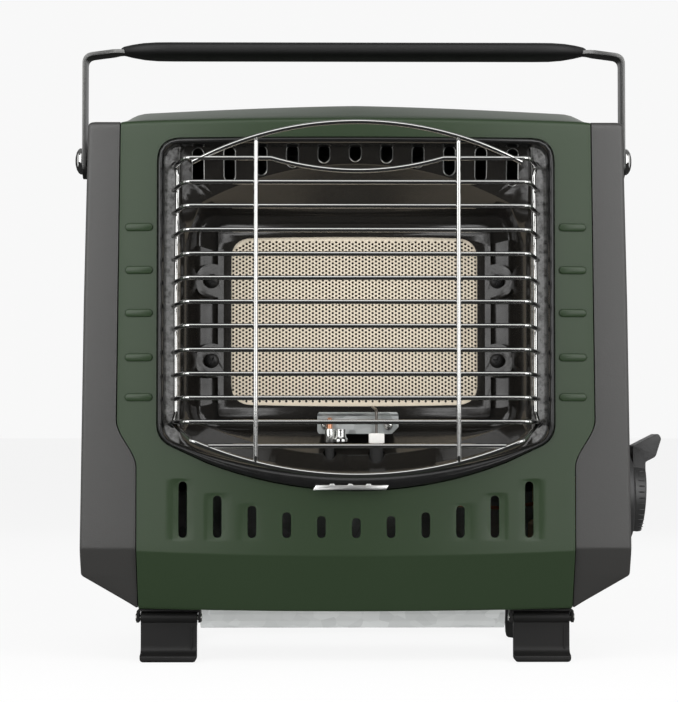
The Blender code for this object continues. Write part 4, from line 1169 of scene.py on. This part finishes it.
for side in (-1, 1):
    x = side * BAR_X
    bar = [(x, GUARD_Y + 3, 259.3), (x, BAR_Y, 257.5), (x, BAR_Y, 103.0), (x, GUARD_Y + 4, 100.8)]
    guard_wires.append((bar, 2.2))
    hook = [(side * 91.0, 10.0, 250.5), (side * 91.0, 3.0, 250.5), (side * 89.4, 1.0, 244.5)]
    hook += [(side * 90.2, 1.0, 185.0), (side * 90.0, 1.0, 126.0), (side * 91.7, 3.0, 120.0)]
    hook += [(side * 91.7, 10.0, 120.0)]
    guard_wires.append((hook, 2.2))
CHROME = polished("chrome_plate", (0.50, 0.50, 0.49), 0.06)
guard = wire_piece("guard_wires", guard_wires, 2.6, CHROME)
hand_over(guard, "casing", "chrome_wire", "wire_guard")

# Thin grey rims laid on the enamel round each vent slot. In shape they are a raised lip, and in colour they
# are a painted highlight where the slot edges catch the light.
pan_top = BVHTree.FromObject(pan, bpy.context.evaluated_depsgraph_get())
rim_highlight_wires = []
for slot in pan_slots:
    loop = []
    for x, z in slot + slot[:1]:
        centre_x = sum(p[0] for p in slot) / len(slot)
        centre_z = sum(p[1] for p in slot) / len(slot)
        away = Vector((x - centre_x, z - centre_z)).normalized() * 0.35
        hit = pan_top.ray_cast(at(x + away.x, -20.0, z + away.y), Vector((0, 1, 0)))[0]
        if hit:
            loop.append((x + away.x, (hit.y - FRONT_Y) / MM, z + away.y))
    rim_highlight_wires.append((loop, 0.55))
RIM_HIGHLIGHT_GREY = polished("bare_cut_edge", (0.42, 0.42, 0.41), 0.30)
rims = wire_piece("vent_rims", rim_highlight_wires, 0.05, RIM_HIGHLIGHT_GREY, 6)
hand_over(rims, "casing", "bright_steel")

weld_work = bmesh.new()
bmesh.ops.create_uvsphere(weld_work, u_segments=10, v_segments=6, radius=1.0)
bmesh.ops.scale(weld_work, vec=(1.35, 0.9, 1.2), verts=weld_work.verts)
weld_places = []
for side in (-1, 1):
    for row in range(13):
        weld_places.append(((side * BAR_X, -37.0, GUARD_TOP - GUARD_PITCH * row), (0.0, 0.0, 0.0)))
    for row in range(12):
        weld_places.append(((side * 90.4, 0.6, GUARD_TOP - GUARD_PITCH * row), (0.0, 0.0, 0.0)))
welds = set_out("guard_welds", pattern_object("weld", weld_work), weld_places, CHROME)
hand_over(welds, "casing", "chrome_wire")


# ---------------------------------------------------------------- electrode and thermocouple
# A folded steel bracket under the plaque, held by two screws. It carries a flared sleeve, a
# copper thermocouple and a glazed insulator with the spark electrode's rod.


def galvanised(name, dark, light, roughness, metallic=0.85):
    """Zinc with its crystals, each a little different in colour and shine."""
    material, inputs, tone = new_finish(name)
    place = tone.node("ShaderNodeTexCoord", out=3)
    crystals = tone.node("ShaderNodeTexVoronoi", sockets={"Vector": place, "Scale": 130.0}, out=1)
    shade = tone.node("ShaderNodeSeparateColor", sockets={"Color": crystals})
    grain = noise(tone, 900.0, 2.0)
    feed(
        inputs,
        Base_Color=shade.mix(colour(*dark), colour(*light)),
        Metallic=metallic,
        Roughness=roughness + 0.14 * shade,
        Normal=relief(tone, grain + 0.5 * shade, 0.2, 0.04),
    )
    return material


GALVANISED = galvanised("galvanised_sheet", (0.40, 0.42, 0.415), (0.56, 0.58, 0.575), 0.34)
SCREW_ZINC = polished("zinc_plate", (0.70, 0.70, 0.67), 0.22)
lip = [(26.0, 115.0), (25.0, 115.0), (25.0, 124.2), (24.2, 125.2)]
lip += [(24.2, 126.2), (25.2, 126.2), (26.0, 125.0)]
lip = fillet(lip, [0.2, 0.2, 0.4, 0.3, 0.3, 0.4, 0.2], 3)
bracket = prism("bracket_plate", [lip], "X", -19.3, 22.2)
bracket_front = [(-19.3, 115.0), (18.6, 115.0), (22.2, 118.6), (22.2, 126.3), (-19.3, 126.3)]
bracket_front = fillet(bracket_front, [2, 1, 1, 2, 2], 4)
combine(bracket, prism("bracket_shape", [bracket_front], "Y", 20, 30), "INTERSECT", "EXACT")
round_edges(bracket, 0.2, 1)
dress(bracket, GALVANISED)
hand_over(bracket, "casing", "zinc_steel", "electrode_bracket")
shelf = prism("bracket_arm", [rectangle(-17.0, 26.4, 20.0, 43.0, 1.0)], "Z", 124.0, 125.0)
dress(shelf, GALVANISED)
hand_over(shelf, "casing", "zinc_steel")
bracket_places = [((x, 24.7, 119.5), (0.0, 0.3 * x, 0.0)) for x in (-15.0, 17.0)]
bracket_screws = set_out("bracket_screws", pan_head(2.6, 1.9, 1.5, 4.5), bracket_places, SCREW_ZINC)
hand_over(bracket_screws, "casing", "bright_steel", "bracket_screw_1", "bracket_screw_2")


def turned(name, profile, along, centre, steps=32):
    """A profile of (radius, position) points turned about an axis through a place."""
    work = bmesh.new()
    rows = []
    for radius, position in profile:
        count = 1 if radius == 0.0 else steps
        row = []
        for k in range(count):
            a = 2 * pi * k / steps
            u, v = centre[0] + radius * cos(a), centre[1] + radius * sin(a)
            spot = {"X": (position, u, v), "Z": (u, v, position)}
            row.append(work.verts.new(spot[along]))
        rows.append(row)
    if profile[0][0] > 0 and profile[-1][0] > 0:
        rows.append(rows[0])
    join_rings(work, rows)
    bmesh.ops.recalc_face_normals(work, faces=work.faces)
    return piece_from(name, work)


nozzle = [(2.0, 110.8), (3.0, 110.6), (3.9, 111.2), (3.9, 112.4), (3.1, 113.4)]
nozzle += [(2.6, 115.0), (2.6, 117.4), (1.8, 117.4), (1.8, 111.6)]
sleeve = dress(turned("pilot_sleeve", nozzle, "Z", (-7.4, 21.4)), CHROME)
hand_over(sleeve, "casing", "zinc_steel")
insulator_profile = [(1.1, 110.0), (3.4, 110.0)]
for k in range(3):
    z = 110.6 + 1.6 * k
    insulator_profile += [(3.4, z), (2.9, z + 0.4), (2.9, z + 0.8), (3.4, z + 1.2)]
insulator_profile += [(3.1, 115.4), (1.1, 115.5)]
WHITE_CERAMIC = ceramic("glazed_ceramic", (0.80, 0.78, 0.74), (0.88, 0.87, 0.84), 0.18)
insulator = dress(turned("spark_insulator", insulator_profile, "Z", SPARK_AT), WHITE_CERAMIC, 40)
hand_over(insulator, "casing", "white_ceramic", "electrode_insulator")
collar = prism("spark_collar", [rectangle(6.8, 16.8, 14.8, 24.4, 0.8, 3)], "Z", 110.4, 115.2)
combine(collar, prism("collar_bore", [ring(SPARK_AT, 3.5, 24)], "Z", 105, 120), "DIFFERENCE")
dress(round_edges(collar, 0.3, 2), WHITE_CERAMIC, 40)
hand_over(collar, "casing", "white_ceramic")


def drawn_metal(name, dark, light, roughness, axis):
    """A metal with fine lines left by drawing or turning, across one axis."""
    material, inputs, tone = new_finish(name)
    stretch = [260.0 if letter == axis else 12.0 for letter in "XYZ"]
    lines = noise(tone, 8.0, 3.0, tuple(stretch))
    tarnish = noise(tone, 35.0, 3.0)
    feed(
        inputs,
        Base_Color=tarnish.mix(colour(*dark), colour(*light)),
        Metallic=1.0,
        Roughness=roughness + 0.15 * tarnish,
        Normal=relief(tone, lines, 0.25, 0.03),
    )
    return material


DARK_ROD = drawn_metal("heat_blued_rod", (0.10, 0.095, 0.09), (0.20, 0.18, 0.16), 0.30, "Z")
spark_path = [(*SPARK_AT, 96.0), (*SPARK_AT, 127.3), (9.3, 41.0, 129.0)]
spark = wire_piece("spark_rod", [(spark_path, 1.4)], 3.0, DARK_ROD, 10)
hand_over(spark, "casing", "bright_steel", "electrode_rod")

COPPER = drawn_metal("drawn_copper", (0.55, 0.25, 0.14), (0.74, 0.38, 0.24), 0.24, "Z")
BRASS = drawn_metal("turned_brass", (0.52, 0.36, 0.13), (0.70, 0.52, 0.24), 0.24, "X")
probe = [(0.0, 123.5), (0.8, 123.3), (1.2, 122.8), (1.5, 117.8), (0.9, 117.2), (0.0, 117.2)]
probe_tip = dress(turned("flame_probe_tip", probe, "Z", PROBE_AT), COPPER)
hand_over(probe_tip, "casing", "copper", "thermocouple")
probe = [(0.0, 118.0), (1.4, 118.0), (2.2, 117.6), (2.6, 116.6), (2.6, 111.4), (2.2, 110.8), (0.0, 110.6)]
probe_body = dress(turned("flame_probe_body", probe, "Z", PROBE_AT), SCREW_ZINC)
hand_over(probe_body, "casing", "zinc_steel")
SLEEVE_RUBBER = black_paint("sleeve_rubber", 0.75)
for centre, radius in ((PROBE_AT, 2.3), (SPARK_AT, 3.5)):
    boot = [(0.0, 98.0), (radius, 98.0), (radius, 109.6), (radius - 0.5, 110.6), (0.0, 110.6)]
    boot_piece = dress(turned("heat_sleeve", boot, "Z", centre), SLEEVE_RUBBER)
    hand_over(boot_piece, "casing", "rubber")


# ---------------------------------------------------------------- handle
# A flat steel strap bent into a square arch and hung on two bolts, with a long leaf-shaped
# black plastic grip moulded over its top. Spacers hold it off the side covers.

PIVOT = (60.0, 259.0)


def band(path, thickness):
    """The outline of a strip of sheet that follows a path."""
    path = [Vector(p) for p in path]
    left, right = [], []
    for i, point in enumerate(path):
        into = (point - path[max(i - 1, 0)]).normalized()
        out = (path[min(i + 1, len(path) - 1)] - point).normalized()
        along = (into + out).normalized()
        stretch = 1 / max(along.dot(out if out.length else into), 0.5)
        side = Vector((-along.y, along.x)) * thickness / 2 * stretch
        left.append(tuple(point + side))
        right.append(tuple(point - side))
    return left + right[::-1]


strap_half = [(142.0, 249.5), (142.0, 314.4), (124.0, 316.8)]
strap_path = strap_half + [(-x, z) for x, z in reversed(strap_half)]
strap_path = fillet(strap_path, [0, 5, 8, 8, 5, 0], 8, closed=False)
strap = prism("carrying_strap", [band(strap_path, 1.9)], "Y", 52.5, 67.5)
strap_side = arc((60.0, 257.0), 7.5, -pi, 0, 16) + [(67.5, 330.0), (52.5, 330.0)]
combine(strap, prism("strap_shape", [strap_side], "X", -160, 160), "INTERSECT")
combine(strap, prism("strap_holes", [ring(PIVOT, 3.2, 24)], "X", -160, 160), "DIFFERENCE")
side_plan = [(117.0, 62.5), (127.0, 67.5), (150.0, 68.0), (150.0, 52.0), (127.0, 52.5), (117.0, 57.5)]
strap_plan = side_plan + [(-x, y) for x, y in reversed(side_plan)]
combine(strap, prism("strap_plan", [strap_plan], "Z", 200.0, 330.0), "INTERSECT")
round_edges(strap, 0.35, 2, 50)
STRAP_STEEL = drawn_metal("satin_strap_steel", (0.10, 0.10, 0.10), (0.16, 0.16, 0.155), 0.34, "Y")
dress(strap, STRAP_STEEL)
hand_over(strap, "handle", "bright_steel", "handle_strap")

grip_work = bmesh.new()
grip_rows = []
GRIP_ENDS = [(-123.0, 0.16), (-121.5, 0.36), (-117.0, 0.62), (-111.0, 0.86), (-104.0, 0.98), (-96.0, 1.0)]
grip_line = GRIP_ENDS + [(x, 1.0) for x in range(-80, 81, 16)] + [(-x, w) for x, w in reversed(GRIP_ENDS)]
for x, width in grip_line:
    row = []
    high, low = 1.1 + 3.2 * min(1.0, width**0.8), 1.0 + 3.3 * min(1.0, width**1.2)
    for k in range(28):
        a = 2 * pi * k / 28
        y = 12.3 * width * abs(cos(a)) ** 0.75 * (1 if cos(a) > 0 else -1)
        z = (high if sin(a) > 0 else low) * abs(sin(a)) ** 0.62 * (1 if sin(a) > 0 else -1)
        row.append(grip_work.verts.new((x, 60.0 + y, 317.25 + z)))
    grip_rows.append(row)
join_rings(grip_work, grip_rows)
grip_work.faces.new(grip_rows[0])
grip_work.faces.new(grip_rows[-1][::-1])
bmesh.ops.recalc_face_normals(grip_work, faces=grip_work.faces)
GRIP_PLASTIC = grained_plastic(
    "grip_plastic", (0.005, 0.005, 0.005), (0.008, 0.008, 0.008), 0.42, specular=0.3
)
grip = dress(piece_from("carrying_grip", grip_work), GRIP_PLASTIC, 45)
hand_over(grip, "handle", "black_plastic", "handle_grip")

bolt = [(0.0, 147.0), (2.6, 146.9), (4.8, 146.3), (6.3, 145.4), (7.0, 144.4)]
bolt += [(7.0, 143.4), (2.8, 143.3), (2.8, 127.0), (0.0, 127.0)]
spacer = [(5.0, 140.6), (5.3, 140.2), (5.3, 135.6), (5.0, 135.2), (3.1, 135.1), (3.1, 140.7)]
pivot_parts = [("bolt", bolt, CHROME, "chrome_wire"), ("spacer", spacer, SCREW_ZINC, "zinc_steel")]
for name, side in (("left", -1), ("right", 1)):
    for part, profile, finish, slot in pivot_parts:
        placed = [(radius, side * x) for radius, x in profile]
        piece = dress(turned(f"{name}_pivot_{part}", placed, "X", PIVOT), finish)
        hand_over(piece, "casing", slot, f"{name}_handle_{part}")


# ---------------------------------------------------------------- control knob
# A black plastic disc with a lever that leans out from its top, turning on the valve stem in
# front of a round plate on the right-hand side cover.

KNOB = (70.0, 81.5)
KNOB_PLASTIC = grained_plastic("knob_plastic", (0.020, 0.020, 0.020), (0.028, 0.028, 0.028), 0.34)
plate = [(24.5, 144.0), (24.5, 138.6), (5.2, 138.6), (5.2, 147.0), (21.0, 147.0), (23.6, 146.0)]
escutcheon = dress(turned("knob_plate", plate, "X", KNOB, 64), KNOB_PLASTIC, 30)
hand_over(escutcheon, "casing", "black_plastic", "knob_escutcheon")
disc = [(0.0, 154.0), (16.8, 154.0), (17.4, 153.8), (17.7, 153.3)]
disc += [(18.4, 147.6), (18.1, 147.3), (0.0, 147.3)]
knob = turned("gas_knob_disc", disc, "X", KNOB, 64)
for vertex in knob.data.vertices:
    x, y, z = INTO_FRAME.inverted() @ vertex.co
    if x > 150.0:
        vertex.co.x -= 0.0018 * min(1.0, max(0.0, (KNOB[1] + 14.0 - z) / 30.0))
lever_side = [(147.4, 88.0), (154.0, 88.0), (154.0, 100.2), (159.4, 103.0)]
lever_side += [(162.4, 112.6), (160.8, 115.4), (147.4, 108.6)]
lever = prism("knob_lever", [fillet(lever_side, [0, 0, 1.5, 3, 1.8, 1.8, 1.5], 5)], "Y", 61.0, 79.0)
round_edges(lever, 0.9, 3)
combine(knob, lever, "UNION")
knob_bore = prism("knob_bore", [ring(KNOB, 4.3, 24)], "X", 140, 151.0)
combine(knob, knob_bore, "DIFFERENCE")
dress(knob, KNOB_PLASTIC, 30)
hand_over(knob, "gas_knob", "black_plastic", "control_knob")
flute_work = bmesh.new()
bmesh.ops.create_uvsphere(flute_work, u_segments=8, v_segments=6, radius=1.0)
bmesh.ops.scale(flute_work, vec=(2.2, 0.6, 0.42), verts=flute_work.verts)
flute_places = []
for k in range(36):
    a = 2 * pi * k / 36
    if not 1.0 < a < 2.1:
        flute_places.append(((150.4, KNOB[0] + 17.75 * cos(a), KNOB[1] + 17.75 * sin(a)), (a, 0.0, 0.0)))
flutes = set_out("knob_flutes", pattern_object("flute", flute_work), flute_places, KNOB_PLASTIC)
hand_over(flutes, "gas_knob", "black_plastic")


# ---------------------------------------------------------------- feet
# Two black steel feet fold on pins under the front of the body. Two turned rubber feet stand
# under the back.

FOOT = (22.0, 22.0)
RUBBER = black_paint("moulded_rubber", 0.72, 0.08)
FOOT_STEEL = black_paint("foot_paint", 0.42, specular=0.25)
FOOT_HALF = 14.2
y, z = FOOT
foot_outline = fillet(
    [(y - 1.6, z), (y - 1.6, 4.6), (y - 9.0, 3.2), (y - 9.0, 0.0), (y + 2.4, 0.0), (y + 2.4, z)],
    [0, 4, 1, 1.5, 2, 0], 6,
)
for name, side in (("left", -1), ("right", 1)):
    middle = side * 94.6
    foot = prism(f"{name}_foot_plate", [foot_outline], "X", middle - FOOT_HALF, middle + FOOT_HALF)
    shape = rectangle(middle - FOOT_HALF, 0.0, middle + FOOT_HALF, 30.0, 2.2)
    combine(foot, prism("foot_shape", [shape], "Y", 0, 40), "INTERSECT")
    barrel = prism("foot_barrel", [ring(FOOT, 3.1, 28)], "X", middle - FOOT_HALF, middle + FOOT_HALF)
    combine(foot, barrel, "UNION", "EXACT")
    bore = prism("foot_bore", [ring(FOOT, 1.7, 20)], "X", middle - 20, middle + 20)
    combine(foot, bore, "DIFFERENCE", "EXACT")
    dress(foot, FOOT_STEEL, 30)
    hand_over(foot, f"{name}_front_foot", "black_steel", f"{name}_foot")
    edge = stadium((middle + 11.6, 3.0), (middle + 11.6, 17.0), 0.9, 6)
    rim = prism(f"{name}_foot_rim", [edge], "Y", 19.9, 20.8)
    dress(rim, FOOT_STEEL)
    hand_over(rim, f"{name}_front_foot", "black_steel")
    pin = [(0.0, -16.9), (1.8, -16.8), (2.4, -16.3), (2.4, -16.05), (1.4, -16.0)]
    pin += [(1.4, 16.0), (2.4, 16.05), (2.4, 16.3), (1.8, 16.8), (0.0, 16.9)]
    pin = [(radius, middle + x) for radius, x in pin]
    pin_piece = dress(turned(f"{name}_hinge_pin", pin, "X", FOOT, 20), SCREW_ZINC)
    hand_over(pin_piece, "casing", "bright_steel", f"{name}_foot_pin")
    bracket_section = [(-15.6, 19.6), (-15.6, 25.9), (15.6, 25.9), (15.6, 19.6)]
    bracket_section = fillet(bracket_section, [0, 1.2, 1.2, 0], 5, closed=False)
    strip = band([(middle + u, v) for u, v in bracket_section], 1.2)
    hinge = prism(f"{name}_hinge_bracket", [strip], "Y", 18.2, 29.0)
    dress(round_edges(hinge, 0.25, 2), FOOT_STEEL)
    hand_over(hinge, "casing", "black_steel", f"{name}_foot_bracket")
    sole = [(0.0, 28.5), (11.0, 28.5), (10.9, 24.0), (9.7, 3.0), (9.2, 0.8)]
    sole += [(8.4, 0.0), (5.0, 0.0), (4.6, 0.8), (0.0, 0.8)]
    rear = dress(turned(f"{name}_rubber_foot", sole, "Z", (side * 97.0, 150.0), 40), RUBBER)
    hand_over(rear, "casing", "rubber", f"{name}_rear_foot")


# ---------------------------------------------------------------- tray, base and back
# Galvanised sheet closes the bottom and the back. The bright tray hangs below the body, and a
# door on a pin closes the cartridge bay.


def put_on(material, *nodes):
    """A finish for frame nodes that keep their shape."""
    for node in nodes:
        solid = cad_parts[node]
        for slot in solid.material_slots:
            slot.material = material


BRIGHT_ZINC = galvanised(
    "bright_galvanised", (0.66, 0.68, 0.67), (0.80, 0.82, 0.81), 0.40, metallic=0.35
)
put_on(BRIGHT_ZINC, "cartridge_tray")
DARK_ZINC = galvanised("heat_stained_sheet", (0.05, 0.05, 0.048), (0.09, 0.088, 0.082), 0.50)
put_on(GALVANISED, "base_pan", "rear_cover", "cartridge_door")
put_on(DARK_ZINC, "heat_shield", "burner_box", "mixing_tube")
put_on(SCREW_ZINC, "door_hinge_pin", "cartridge_clip")
put_on(BRASS, "regulator_body", "gas_jet", "valve_stem")
put_on(COPPER, "gas_pipe", "thermocouple_lead")
put_on(RUBBER, "inlet_seal", "ignition_lead")
put_on(KNOB_PLASTIC, "piezo_igniter", "door_pull")
# The gasket takes the same near-black finish as the shaded block behind the plaque.
put_on(HOLE_SHADE_AND_GASKET, "plaque_gasket")

rear_screw_places = [((x, 186.2, z), (0.0, 0.0, pi)) for x in (-100.0, 100.0) for z in (140.0, 190.0, 240.0)]
rear_screw_places += [((x, 186.2, 244.0), (0.0, 0.0, pi)) for x in (-50.0, 0.0, 50.0)]
rear_screws = set_out("rear_cover_screws", pan_head(3.4, 1.3, 1.4, 2.0), rear_screw_places, SCREW_ZINC)
hand_over(rear_screws, "casing", "zinc_steel")
door_rib_work = bmesh.new()
bmesh.ops.create_uvsphere(door_rib_work, u_segments=16, v_segments=10, radius=1.0)
bmesh.ops.scale(door_rib_work, vec=(30.0, 1.1, 1.6), verts=door_rib_work.verts)
door_ribs = [((x, 186.0, z), (0.0, 0.0, 0.0)) for x in (-45.0, 45.0) for z in (66.0, 78.0, 90.0)]
ribs_piece = set_out("door_ribs", pattern_object("door_rib", door_rib_work), door_ribs, GALVANISED)
hand_over(ribs_piece, "door", "zinc_steel")
